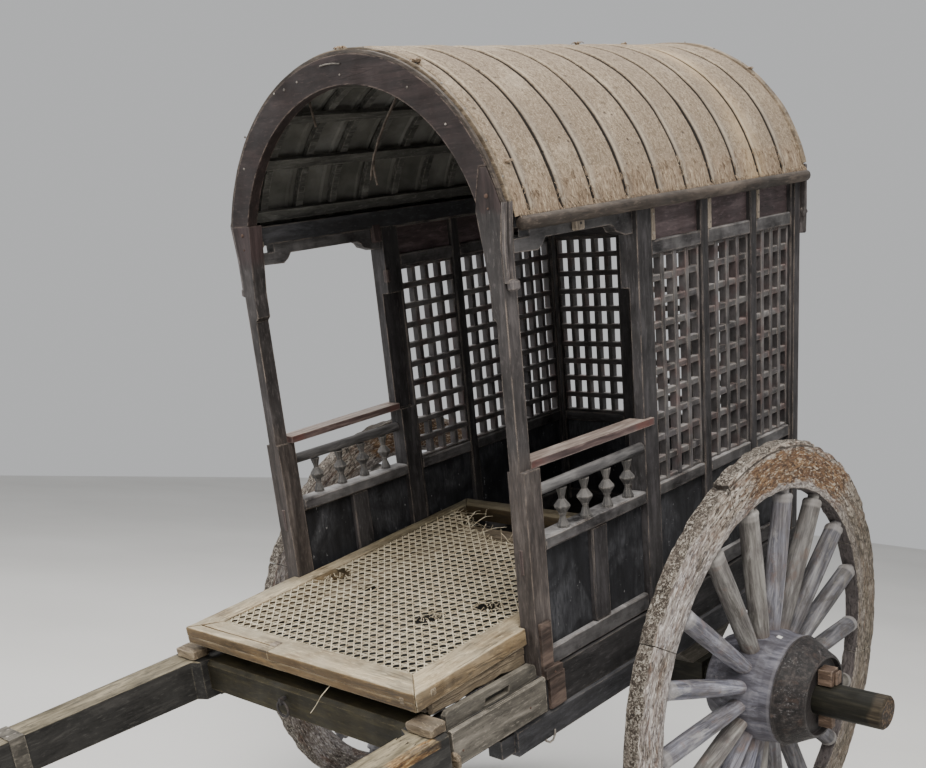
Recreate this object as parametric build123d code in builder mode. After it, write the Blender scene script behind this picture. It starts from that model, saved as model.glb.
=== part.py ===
"""Two-wheeled covered carriage: a post-and-panel cabin under a barrel roof,
standing on its wheels and its shaft tips.

Every piece is drawn in the carriage's own level frame: millimetres, the
front post faces at y = 0 with the shafts towards -Y, +Z up, x = 0 on the
centre line. STAND then tips the whole carriage nose-down about the axle
until the shaft tips rest on the floor.
"""
import os
from math import atan2, asin, cos, degrees, hypot, radians, sin

from build123d import *

os.makedirs("parts", exist_ok=True)

# ---------------------------------------------------------------- dimensions
# wheels and axle
WHEEL_R = 669.0          # outside radius of the rim
RIM_IN_R = 550.0         # inside radius of the rim
RIM_W = 48.0             # width of the rim along the axle
SPOKES = 18
AXLE_Y = 748.0
AXLE_Z = 516.0
ARM_R = 46.0             # round axle arm
ARM_FIT = 0.05           # radial clearance of the hub on the arm
AXLE_END = 984.0
SHOULDER = 470.0         # end of the square part of the axle
WHEEL_X = {"right": 635.5, "left": -745.0}   # plane of the spokes; left wheel slid out
HUB_RISE = 6.0           # the worn bore sits this far below the middle of the hub
PINS = [818.5, -928.0]   # linchpins along the axle

# timbers under the cabin
BEAM_IN, BEAM_OUT = 372.0, 452.0
BEAM_Z0, BEAM_Z1 = 700.0, 800.0
BEAM_REAR = 1345.0
STEP_Y = -345.0          # the beam steps out here and goes on as the shaft
SHAFT_IN, SHAFT_OUT = 398.0, 486.0
SHAFT_Z0, SHAFT_Z1 = 703.0, 810.0
TIP_Y = -2750.0
TIP_IN, TIP_OUT = 412.0, 472.0
TIP_Z0, TIP_Z1 = 742.0, 802.0

# cabin
WALL_IN, WALL_OUT = 400.0, 452.0
FRONT_Y, REAR_Y = 0.0, 1292.0
POST_TOP = 1855.0
PLATE_Z0, PLATE_Z1 = 1806.0, 1850.0
FRIEZE_Z0 = 1722.0
LATTICE_Z0, LATTICE_Z1 = 1127.0, 1692.0
SILL_Z0, SILL_Z1 = 1095.0, 1127.0
BOTTOM_Z0, BOTTOM_Z1 = 804.0, 850.0
# lengthways places of the posts: (y0, y1)
POSTS = {"front": (0.0, 58.0), "mid": (480.0, 541.0), "rear": (1260.0, 1292.0)}
STEP_Z = 1293.0          # the posts are pared down above this
# lattice bays of a side wall: (y0, y1)
SIDE_BAYS = [(551.0, 776.0), (810.0, 1026.0), (1058.0, 1251.0)]
# lattice bays of the rear wall: (x0, x1, columns)
REAR_BAYS = [(-384.0, -142.0, 5), (-100.0, 100.0, 4), (142.0, 384.0, 5)]
ROWS = 10
BAR_W, BAR_D = 16.0, 22.0

# vault
VAULT_Z = 1725.0         # centre of the barrel
ARCH_IN, ARCH_OUT = 405.0, 466.0
COVER_IN, COVER_OUT = 466.0, 480.0
BATTEN_ANGLES = [19.5, 37, 54.5, 72, 90, 108, 125.5, 143, 160.5]
BATTEN_R, HOOP_IN = 440.0, 452.2
HOOP_PITCH, HOOP_FIRST, HOOPS = 120.0, 92.0, 10

# seat frame, tilted up to the rear
SEAT_Y, SEAT_Z = -382.0, 855.0
SEAT_TILT = 2.85
SEAT_W, SEAT_L, SEAT_H = 840.0, 1106.0, 45.0
SEAT_RAIL, SEAT_END = 80.0, 78.0

# the stand: the shaft tips' lower edges touch the floor
_dy, _dz = TIP_Y - AXLE_Y, TIP_Z0 - AXLE_Z
PITCH = degrees(asin(WHEEL_R / hypot(_dy, _dz)) + atan2(_dz, -_dy))
_c, _s = cos(radians(PITCH)), sin(radians(PITCH))
Y_MIN = (TIP_Y - AXLE_Y) * _c - (TIP_Z1 - AXLE_Z) * _s
Y_SHIFT = -(Y_MIN + WHEEL_R) / 2
STAND = (Location((0, Y_SHIFT, WHEEL_R)) * Location((0, 0, 0), (PITCH, 0, 0))
         * Location((0, -AXLE_Y, -AXLE_Z)))


def slab(x0, x1, y0, y1, z0, z1, mode=Mode.ADD):
    """A box between two corners, added to the open part."""
    with Locations(((x0 + x1) / 2, (y0 + y1) / 2, (z0 + z1) / 2)):
        Box(abs(x1 - x0), abs(y1 - y0), abs(z1 - z0), mode=mode)


def both(x0, x1, y0, y1, z0, z1, mode=Mode.ADD):
    """The same box on the right and the left."""
    slab(x0, x1, y0, y1, z0, z1, mode)
    slab(-x1, -x0, y0, y1, z0, z1, mode)


def save(built, label):
    """Stand the piece up with the carriage and write it."""
    placed = built.part.moved(STAND)
    placed.label = label
    export_step(placed, f"parts/{label}.step")


# --------------------------------------------------------------------- axle
with BuildPart() as axle:
    slab(-SHOULDER, SHOULDER, AXLE_Y - 55, AXLE_Y + 55, AXLE_Z - 55, AXLE_Z + 55)
    with BuildSketch(Plane.YZ.offset(-AXLE_END)):
        with Locations((AXLE_Y, AXLE_Z)):
            Circle(ARM_R)
    extrude(amount=2 * AXLE_END)
    for x in PINS:
        slab(x - 19.5, x + 19.5, AXLE_Y - 11, AXLE_Y + 11, AXLE_Z - 60, AXLE_Z + 60, Mode.SUBTRACT)
    ends = axle.edges().filter_by(GeomType.CIRCLE).sort_by(Axis.X)
    chamfer([ends[0], ends[-1]], 5)
save(axle, "axle")

# linchpins stand in slots through the arms
with BuildPart() as linchpins:
    for x in PINS:
        slab(x - 19, x + 19, AXLE_Y - 10.5, AXLE_Y + 10.5, AXLE_Z - 80, AXLE_Z + 47)
        slab(x - 19, x + 19, AXLE_Y - 19, AXLE_Y + 19, AXLE_Z + 47, AXLE_Z + 91)
save(linchpins, "linchpins")

with BuildPart() as axle_blocks:
    with BuildSketch(Plane.YZ.offset(395)) as block_side:
        with BuildLine():
            Polyline((AXLE_Y - 150, 632), (AXLE_Y + 150, 632), (AXLE_Y + 70, AXLE_Z + 55),
                     (AXLE_Y - 70, AXLE_Z + 55), close=True)
        make_face()
    extrude(amount=55)
    mirror(about=Plane.YZ)
save(axle_blocks, "axle_blocks")

# ------------------------------------------------------- beams and shafts
for side, s in (("right", 1), ("left", -1)):
    with BuildPart() as shaft:
        with BuildSketch(Plane.YZ.offset(s * 360)):
            with BuildLine():
                Polyline((BEAM_REAR, BEAM_Z0), (BEAM_REAR, BEAM_Z1), (STEP_Y, BEAM_Z1),
                         (STEP_Y, SHAFT_Z1), (TIP_Y, TIP_Z1), (TIP_Y, TIP_Z0),
                         (STEP_Y, SHAFT_Z0), (STEP_Y, BEAM_Z0), close=True)
            make_face()
        extrude(amount=s * 140)
        with BuildSketch(Plane.XY.offset(600)):
            with BuildLine():
                Polyline((s * BEAM_IN, BEAM_REAR), (s * BEAM_OUT, BEAM_REAR),
                         (s * BEAM_OUT, STEP_Y), (s * SHAFT_OUT, STEP_Y - 14),
                         (s * TIP_OUT, TIP_Y), (s * TIP_IN, TIP_Y),
                         (s * SHAFT_IN, STEP_Y - 60), (s * BEAM_IN, STEP_Y - 46), close=True)
            make_face()
        extrude(amount=300, mode=Mode.INTERSECT)
        # pin hole near the tip
        with BuildSketch(Plane.XY.offset(600)):
            with Locations((s * (TIP_IN + TIP_OUT) / 2, TIP_Y + 110)):
                Circle(11)
        extrude(amount=300, mode=Mode.SUBTRACT)
    save(shaft, f"shaft_{side}")

# front cross beam between the shafts, its front top edge chamfered
with BuildPart() as front_beam:
    with BuildSketch(Plane.YZ.offset(-371.5)):
        with BuildLine():
            Polyline((-372, 728), (-372, 798), (-362, 808), (-300, 808), (-300, 728), close=True)
        make_face()
    extrude(amount=743)
save(front_beam, "front_beam")

with BuildPart() as cross_beams:
    for y0, y1, z0 in ((60, 130, 720), (610, 680, 720), (1265, 1345, 704)):
        slab(-BEAM_IN, BEAM_IN, y0, y1, z0, BEAM_Z1)
save(cross_beams, "cross_beams")

# floor boards lie on the beams
FLOOR = [(-398, -268), (-264, -134), (-130, -2), (2, 130), (134, 264), (268, 398)]
with BuildPart() as floor_boards:
    for x0, x1 in FLOOR:
        x_out = 345 if abs(x0) > 390 or abs(x1) > 390 else None
        a, b = (max(x0, -368), min(x1, 368))
        slab(a, b, -299, 1240, 800, 822)
save(floor_boards, "floor_boards")

with BuildPart() as under_sills:
    both(398, 457, -104, 1330, 632, 700)
    tops = under_sills.edges().filter_by(Axis.Y).group_by(Axis.Z)[-1].sort_by(Axis.X)
    chamfer([tops[0], tops[-1]], 7)
    both(404, 446, -152, -104.5, 642, 690)
save(under_sills, "under_sills")

# cheeks outside the beams ahead of the front posts, and the battens that
# stand behind them over the foot of the posts
with BuildPart() as cheeks:
    both(452, 466, -330, 2, 712, 800)
    corners = cheeks.edges().filter_by(Axis.Y).group_by(Axis.Z)[-1]
    chamfer(corners, 3)
    both(452, 461, 26, 84, 704, 790)
    both(452, 468, 8, 70, 790, 813)
    both(452, 460, 8, 46, 813, 930)
save(cheeks, "cheeks")

# slotted cleats that stand on the beams beside the seat
with BuildPart() as cleats:
    with BuildSketch(Plane.YZ.offset(434)):
        with BuildLine():
            Polyline((-326, 800), (-9, 800), (-9, 822), (-14, 834), (-26, 840), (-316, 840),
                     (-326, 832), close=True)
        make_face()
        with BuildLine():
            Polyline((-199, 804), (-113, 804), (-107, 821), (-193, 821), close=True)
        make_face(mode=Mode.SUBTRACT)
    extrude(amount=15)
    mirror(about=Plane.YZ)
save(cleats, "cleats")

with BuildPart() as corner_blocks:
    both(392, 470, -398, -342, 810, 838)
    both(460, 490, -344, -331, 716, 752)
save(corner_blocks, "corner_blocks")

# --------------------------------------------------------------------- seat
SEAT = Plane(origin=(0, SEAT_Y, SEAT_Z), x_dir=(1, 0, 0),
             z_dir=(0, -sin(radians(SEAT_TILT)), cos(radians(SEAT_TILT))))
with BuildPart() as seat_frame:
    with BuildSketch(SEAT):
        with Locations((0, SEAT_L / 2)):
            Rectangle(SEAT_W, SEAT_L)
            Rectangle(SEAT_W - 2 * SEAT_RAIL, SEAT_L - 2 * SEAT_END, mode=Mode.SUBTRACT)
    extrude(amount=SEAT_H)
    # notches for the cabin's posts and panels
    for s in (1, -1):
        slab(s * 398, s * 500, -2, 1300, 700, 1100, Mode.SUBTRACT)
save(seat_frame, "seat_frame")

with BuildPart() as seat_cane:
    with BuildSketch(SEAT.offset(SEAT_H - 16)):
        with Locations((0, SEAT_L / 2)):
            Rectangle(SEAT_W - 2 * SEAT_RAIL, SEAT_L - 2 * SEAT_END)
        # torn away along the rear rail
        with BuildLine():
            Polyline((-292, SEAT_L), (-286, 985), (-230, 930), (-180, 893), (-70, 845),
                     (330, 838), (330, SEAT_L), close=True)
        make_face(mode=Mode.SUBTRACT)
    extrude(amount=6)
save(seat_cane, "seat_cane")

# rough bearers packed between the floor and the seat frame: two wedges and
# a cross piece
RISE = sin(radians(SEAT_TILT)) / cos(radians(SEAT_TILT))
with BuildPart() as seat_bearers:
    for s in (1, -1):
        for x0, x1, ya, yb in ((372, 396, -330, 700), (396, 412, -326, -4)):
            with BuildSketch(Plane.YZ.offset(s * x0)):
                with BuildLine():
                    Polyline((ya, 824), (ya, SEAT_Z + RISE * (ya - SEAT_Y)),
                             (yb, SEAT_Z + RISE * (yb - SEAT_Y)), (yb, 824), close=True)
                make_face()
            extrude(amount=s * (x1 - x0))
        slab(s * 345, s * 372, -330, 700, 822, 851)
    slab(-343, 343, -330, -286, 822, 852)
    slab(-343, 343, 620, 680, 822, 880)
save(seat_bearers, "seat_bearers")

# -------------------------------------------------------------------- cabin
# the posts are full below the rails and pared down above them; the right
# front post runs up beside the foot of the arch, the left one is cut square
# under it: outline seen from the front (x, z)
POST_FOOT = [(404, BEAM_Z1), (WALL_OUT, BEAM_Z1), (WALL_OUT, STEP_Z), (404, STEP_Z)]
POST_EDGE = [(411, STEP_Z), (440, STEP_Z), (440, 1775)]
POST_HEAD = {1: [(448, 1850), (440, 1875), (429, 1903), (416, 1931), (398, 1931), (378, 1848)],
             -1: [(447, 1855), (379, 1855)]}
POST_NECK = [(390, 1770), (400, 1690), (401, 1630), (411, 1620)]
with BuildPart() as front_posts:
    for s in (1, -1):
        for outline, depth in ((POST_FOOT, 58), (POST_EDGE + POST_HEAD[s] + POST_NECK, 41)):
            with BuildSketch(Plane.XZ):
                with BuildLine():
                    Polyline(*[(s * x, z) for x, z in outline], close=True)
                make_face()
            extrude(amount=-depth)
save(front_posts, "front_posts")

with BuildPart() as mid_posts:
    y0, y1 = POSTS["mid"]
    both(404, WALL_OUT, y0, y1, BEAM_Z1, STEP_Z)
    both(424, WALL_OUT, y0, y1, STEP_Z, 1625)
    both(WALL_IN, WALL_OUT, y0, y1, 1625, PLATE_Z0)
save(mid_posts, "mid_posts")

with BuildPart() as rear_posts:
    y0, y1 = POSTS["rear"]
    both(WALL_IN, WALL_OUT, y0, y1, BEAM_Z1, POST_TOP)
save(rear_posts, "rear_posts")

with BuildPart() as eave_plates:
    both(WALL_IN, WALL_OUT, 41, POSTS["rear"][0], PLATE_Z0, PLATE_Z1)
save(eave_plates, "eave_plates")

with BuildPart() as eave_poles:
    for s in (1, -1):
        with BuildSketch(Plane.XZ.offset(-32)):
            with Locations((s * (WALL_OUT + 16), 1816)):
                Circle(16)
        extrude(amount=-1266)
save(eave_poles, "eave_poles")

# front bay of each side: lintel, handrail, bar, balusters, sill, panels
BAY = (POSTS["front"][1], POSTS["mid"][0])
with BuildPart() as lintels:
    for s in (1, -1):
        with BuildSketch(Plane.YZ.offset(s * 410)):
            with BuildLine():
                y0, y1 = 41, POSTS["mid"][0]
                Polyline((95, PLATE_Z0), (y1, PLATE_Z0), (y1, 1750), (450, 1750), (428, 1757),
                         (414, 1761), (405, 1772), (392, 1778), (150, 1778), (138, 1764),
                         (122, 1754), (y0, 1757), (y0, 1785), (95, 1785), close=True)
            make_face()
        extrude(amount=s * 30)
save(lintels, "lintels")

with BuildPart() as handrails:
    # each flat rail splays out to the rear and laps past the post
    with BuildSketch(Plane.XY.offset(STEP_Z)):
        with BuildLine():
            Polyline((390, 41.5), (442, 41.5), (464, 506), (452.5, 506), (452.5, 479.5),
                     (408, 479.5), close=True)
        make_face()
    extrude(amount=18)
    # round bar below it
    with BuildSketch(Plane.XZ.offset(-BAY[0])):
        with Locations((436, 1238)):
            Circle(13.5)
    extrude(amount=-(BAY[1] - BAY[0]))
    mirror(about=Plane.YZ)
save(handrails, "handrails")

# balusters: (height above the sill, half width) of the eight-sided sections
BALUSTER = [(0, 20), (5, 19), (25, 9.5), (29, 9.5), (39, 20), (44, 23), (52, 23), (57, 20),
            (67, 9.5), (71, 9.5), (92, 16.5), (97, 16)]
BALUSTER_Y = [149.0, 239.0, 329.0, 418.0]
with BuildPart() as balusters:
    for s in (1, -1):
        for y in BALUSTER_Y:
            for height, half in BALUSTER:
                with BuildSketch(Plane.XY.offset(SILL_Z1 + height)):
                    with Locations((s * 436, y)):
                        RegularPolygon(half, 8, rotation=22.5)
            loft(ruled=True)
save(balusters, "balusters")

# ------------------------------------------------- framed walls behind the post
def grille(u0, u1, cols, z0, z1, plane, depth):
    """A crossed-bar panel in a wall plane (u along the wall, z up)."""
    with BuildSketch(plane) as bars:
        with Locations(((u0 + u1) / 2, (z0 + z1) / 2)):
            Rectangle(u1 - u0, z1 - z0)
        pitch_u, pitch_z = (u1 - u0) / cols, (z1 - z0) / ROWS
        with Locations(((u0 + u1) / 2, (z0 + z1) / 2)):
            with GridLocations(pitch_u, pitch_z, cols, ROWS):
                Rectangle(pitch_u - BAR_W, pitch_z - BAR_W, mode=Mode.SUBTRACT)
    extrude(bars.sketch, amount=depth)


for side, s in (("right", 1), ("left", -1)):
    with BuildPart() as side_frame:
        y0, y1 = POSTS["mid"][1], POSTS["rear"][0]
        x0, x1 = s * 406, s * 446  # a little thinner than the posts
        # solid wall from the bottom rail to the plate, then cut the openings
        slab(x0, x1, y0, y1, BOTTOM_Z0, PLATE_Z0)
        for a, b in SIDE_BAYS:
            slab(x0, x1, a, b, FRIEZE_Z0 + 4, PLATE_Z0 - 6, Mode.SUBTRACT)
            slab(x0, x1, a, b, LATTICE_Z0, LATTICE_Z1, Mode.SUBTRACT)
            slab(x0, x1, a, b, BOTTOM_Z1, SILL_Z0, Mode.SUBTRACT)
        # front bay: sill, bottom rail and the stile between its panels
        y0, y1 = BAY
        slab(s * WALL_IN, s * WALL_OUT, y0, y1, SILL_Z0, SILL_Z1)
        slab(x0, x1, y0, y1, BOTTOM_Z0, BOTTOM_Z1)
        slab(x0, x1, 247, 309, BOTTOM_Z1, SILL_Z0)
    save(side_frame, f"side_frame_{side}")

    with BuildPart() as lattice:
        for a, b in SIDE_BAYS:
            plane = Plane.YZ.offset(415) if s > 0 else Plane.YZ.offset(-415 - BAR_D)
            grille(a, b, 4, LATTICE_Z0, LATTICE_Z1, plane, BAR_D)
    save(lattice, f"lattice_{side}")

with BuildPart() as frieze_panels:
    for a, b in SIDE_BAYS:
        both(420, 432, a, b, FRIEZE_Z0 + 4, PLATE_Z0 - 6)
    for a, b, cols in REAR_BAYS:
        slab(a, b, 1260, 1272, FRIEZE_Z0 + 4, PLATE_Z0 - 6)
save(frieze_panels, "frieze_panels")

with BuildPart() as lower_panels:
    for a, b in [(58, 247), (309, 480)] + SIDE_BAYS:
        both(420, 432, a, b, BOTTOM_Z1, SILL_Z0)
    for a, b, cols in REAR_BAYS:
        slab(a, b, 1260, 1272, BOTTOM_Z1, SILL_Z0)
save(lower_panels, "lower_panels")

with BuildPart() as rear_frame:
    y0, y1 = 1246, 1286
    slab(-WALL_IN, WALL_IN, y0, y1, BOTTOM_Z0, PLATE_Z1)
    for a, b, cols in REAR_BAYS:
        slab(a, b, y0, y1, FRIEZE_Z0 + 4, PLATE_Z0 - 6, Mode.SUBTRACT)
        slab(a, b, y0, y1, LATTICE_Z0, LATTICE_Z1, Mode.SUBTRACT)
        slab(a, b, y0, y1, BOTTOM_Z1, SILL_Z0, Mode.SUBTRACT)
save(rear_frame, "rear_frame")

with BuildPart() as lattice_rear:
    for a, b, cols in REAR_BAYS:
        grille(a, b, cols, LATTICE_Z0, LATTICE_Z1, Plane.XZ.offset(-1255), -BAR_D)
save(lattice_rear, "lattice_rear")

# -------------------------------------------------------------------- vault
def band(plane, depth, r_in, r_out, z_low):
    """An arched band of the barrel, from z_low on one side over to the other."""
    with BuildSketch(plane) as ring:
        with Locations((0, VAULT_Z)):
            Circle(r_out)
            Circle(r_in, mode=Mode.SUBTRACT)
        with Locations((0, z_low - 500)):
            Rectangle(1400, 1000, mode=Mode.SUBTRACT)
    extrude(ring.sketch, amount=depth)


with BuildPart() as front_arch:
    band(Plane.XZ, -30, ARCH_IN, ARCH_OUT, 1800)
    # its feet are cut to meet the heads of the posts
    for foot in ([(377, 1700), (377, 1848), (397, 1932), (560, 1932), (560, 1700)],
                 [(-370, 1700), (-370, 1855), (-560, 1855), (-560, 1700)]):
        with BuildSketch(Plane.XZ):
            with BuildLine():
                Polyline(*foot, close=True)
            make_face()
        extrude(amount=-40, mode=Mode.SUBTRACT)
save(front_arch, "front_arch")

with BuildPart() as rear_arch:
    band(Plane.XZ.offset(-1262), -30, ARCH_IN, COVER_IN, POST_TOP)
save(rear_arch, "rear_arch")

with BuildPart() as rear_tympanum:
    for x0, x1 in ((-405, -272), (-270, -136), (-134, -1), (1, 134), (136, 270), (272, 405)):
        with BuildSketch(Plane.XZ.offset(-1266)):
            with Locations((0, VAULT_Z)):
                Circle(ARCH_IN)
            with Locations((0, PLATE_Z1 - 500)):
                Rectangle(1400, 1000, mode=Mode.SUBTRACT)
            with Locations(((x0 + x1) / 2, 2000)):
                Rectangle(x1 - x0, 1000, mode=Mode.INTERSECT)
        extrude(amount=-14)
save(rear_tympanum, "rear_tympanum")

with BuildPart() as roof_battens:
    for angle in BATTEN_ANGLES:
        first = 42 if abs(angle - 90) > 70 else 30  # the outer two start behind the posts
        plane = Plane(origin=(0, first, VAULT_Z), x_dir=(cos(radians(angle)), 0, sin(radians(angle))),
                      z_dir=(0, 1, 0))
        with BuildSketch(plane):
            with Locations((BATTEN_R + 6, 0)):
                Rectangle(12, 26)
        extrude(amount=1262 - first)
save(roof_battens, "roof_battens")

with BuildPart() as roof_hoops:
    for k in range(HOOPS):
        band(Plane.XZ.offset(-(HOOP_FIRST + HOOP_PITCH * k - 11)), -22, HOOP_IN, COVER_IN, POST_TOP)
save(roof_hoops, "roof_hoops")

with BuildPart() as roof_cover:
    band(Plane.XZ.offset(-30), -1270, COVER_IN, COVER_OUT, 1832.5)
    # its hem hangs outside the plates and posts
    both(380, WALL_OUT + 0.5, 0, 1400, 1700, POST_TOP + 0.5, Mode.SUBTRACT)
save(roof_cover, "roof_cover")

# iron ring hanging on its staple from the front beam
RING = (-54.0, -386.0, 752.0)
with BuildPart() as draw_ring:
    with Locations(Location(RING, (90, 0, 0))):
        Torus(20, 3.2)
    slab(RING[0] - 4, RING[0] + 4, RING[1] + 3, -372, 776, 782)
    slab(RING[0] - 4, RING[0] + 4, RING[1] - 7, RING[1] + 4, 764, 782)
save(draw_ring, "draw_ring")

# ------------------------------------------------------------------- wheels
HUB_BORE = ARM_R + ARM_FIT
# hub profile: (distance from the spoke plane outwards, radius)
HUB = [(-125, 108), (-118, 118), (-60, 146), (-34, 158), (34, 158), (60, 152),
       (91, 151), (97, 154), (103, 148), (120, 142), (135, 134), (155, 123), (170, 116),
       (174.5, 112), (174.5, 107), (158, 106), (158, 20), (-125, 20)]
# a spoke: (reach from the axis, half widths along and across the axle)
SPOKE = [(148, 27, 19), (240, 28.5, 22.5), (400, 28, 25), (524, 26, 25), (534, 22, 21)]
for side, s in (("right", 1), ("left", -1)):
    X = WHEEL_X[side]
    with BuildPart() as rim:
        with BuildSketch(Plane.YZ.offset(X - RIM_W / 2)):
            with Locations((AXLE_Y, AXLE_Z)):
                Circle(WHEEL_R)
                Circle(RIM_IN_R, mode=Mode.SUBTRACT)
        extrude(amount=RIM_W)
        chamfer(rim.edges().filter_by(GeomType.CIRCLE), 4)
    save(rim, f"wheel_{side}_rim")

    with BuildPart() as hub:
        with BuildSketch(Plane.XY.offset(AXLE_Z + HUB_RISE)):
            with BuildLine():
                Polyline(*[(X + s * d, AXLE_Y + r) for d, r in HUB], close=True)
            make_face()
        revolve(axis=Axis((X, AXLE_Y, AXLE_Z + HUB_RISE), (1, 0, 0)))
        with BuildSketch(Plane.YZ.offset(X - 200)):
            with Locations((AXLE_Y, AXLE_Z)):
                Circle(HUB_BORE)
        extrude(amount=400, mode=Mode.SUBTRACT)
    save(hub, f"wheel_{side}_hub")

    with BuildPart() as spokes:
        for k in range(SPOKES):
            a = 360.0 / SPOKES * k - 0.5
            out = (0, cos(radians(a)), sin(radians(a)))
            # root oval, belly, shoulder, then the tenon that enters the rim
            for reach, half_x, half_t in SPOKE:
                plane = Plane(origin=(X, AXLE_Y + reach * out[1], AXLE_Z + reach * out[2]),
                              x_dir=(1, 0, 0), z_dir=out)
                with BuildSketch(plane):
                    Ellipse(half_x, half_t)
            loft(ruled=True)
            with BuildSketch(plane):
                Ellipse(16, 13)
            extrude(amount=552 - SPOKE[-1][0])
    save(spokes, f"wheel_{side}_spokes")

print("pitch", PITCH, "y shift", Y_SHIFT)
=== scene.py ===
import math
import random

import bmesh
import bpy
import numpy as np
from mathutils import Matrix, Vector, noise


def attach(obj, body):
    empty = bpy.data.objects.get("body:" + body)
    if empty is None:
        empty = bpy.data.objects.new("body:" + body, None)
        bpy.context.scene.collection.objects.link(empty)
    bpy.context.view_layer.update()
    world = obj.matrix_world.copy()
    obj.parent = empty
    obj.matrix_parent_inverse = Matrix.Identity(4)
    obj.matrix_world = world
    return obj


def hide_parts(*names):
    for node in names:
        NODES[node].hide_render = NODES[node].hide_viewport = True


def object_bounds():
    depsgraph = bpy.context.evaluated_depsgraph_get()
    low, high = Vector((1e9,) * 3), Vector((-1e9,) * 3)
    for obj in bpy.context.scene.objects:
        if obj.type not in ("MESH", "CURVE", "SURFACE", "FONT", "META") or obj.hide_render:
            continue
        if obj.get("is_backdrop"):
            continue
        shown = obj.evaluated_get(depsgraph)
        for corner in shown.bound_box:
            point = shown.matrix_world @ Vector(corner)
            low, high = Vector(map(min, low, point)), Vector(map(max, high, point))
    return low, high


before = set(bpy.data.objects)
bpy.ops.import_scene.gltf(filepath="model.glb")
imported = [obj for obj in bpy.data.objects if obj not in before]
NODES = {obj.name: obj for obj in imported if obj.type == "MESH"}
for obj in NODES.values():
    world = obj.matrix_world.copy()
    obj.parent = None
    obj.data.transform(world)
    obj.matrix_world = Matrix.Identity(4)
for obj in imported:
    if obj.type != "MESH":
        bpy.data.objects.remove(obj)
LO0, HI0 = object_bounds()

# The carriage's own level frame (metres): front post faces at y = 0, shafts
# towards -y, z up. PLACE tips it about the axle until the shafts touch down.
AXLE_Y, AXLE_Z, WHEEL_R = 0.748, 0.516, 0.669
TIP_Y, TIP_Z0, TIP_Z1 = -2.750, 0.742, 0.802
_dy, _dz = TIP_Y - AXLE_Y, TIP_Z0 - AXLE_Z
PITCH = math.asin(WHEEL_R / math.hypot(_dy, _dz)) + math.atan2(_dz, -_dy)
_ymin = (TIP_Y - AXLE_Y) * math.cos(PITCH) - (TIP_Z1 - AXLE_Z) * math.sin(PITCH)
PLACE = (Matrix.Translation((0, -(_ymin + WHEEL_R) / 2, WHEEL_R))
         @ Matrix.Rotation(PITCH, 4, "X") @ Matrix.Translation((0, -AXLE_Y, -AXLE_Z)))
BACK = PLACE.inverted()
HUB_Y = (PLACE @ Vector((0, AXLE_Y, AXLE_Z))).y
rng = random.Random(7)
nrng = np.random.default_rng(7)


# ------------------------------------------------------------------ camera
def build_camera():
    data = bpy.data.cameras.new("camera")
    cam = bpy.data.objects.new("camera", data)
    bpy.context.scene.collection.objects.link(cam)
    r = Vector((0.728882, 0.681172, 0.068826))
    b = Vector((0.659639, -0.725626, 0.195812))
    u = b.cross(r)
    m = Matrix(((r.x, u.x, b.x, 2.06388), (r.y, u.y, b.y, -1.54646),
                (r.z, u.z, b.z, 1.35552), (0, 0, 0, 1)))
    cam.matrix_world = m
    data.sensor_width = 36.0
    data.lens = 44.7247
    data.shift_x = 0.02784
    data.shift_y = 0.27740
    data.clip_start, data.clip_end = 0.05, 60
    bpy.context.scene.camera = cam
    return cam


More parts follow.
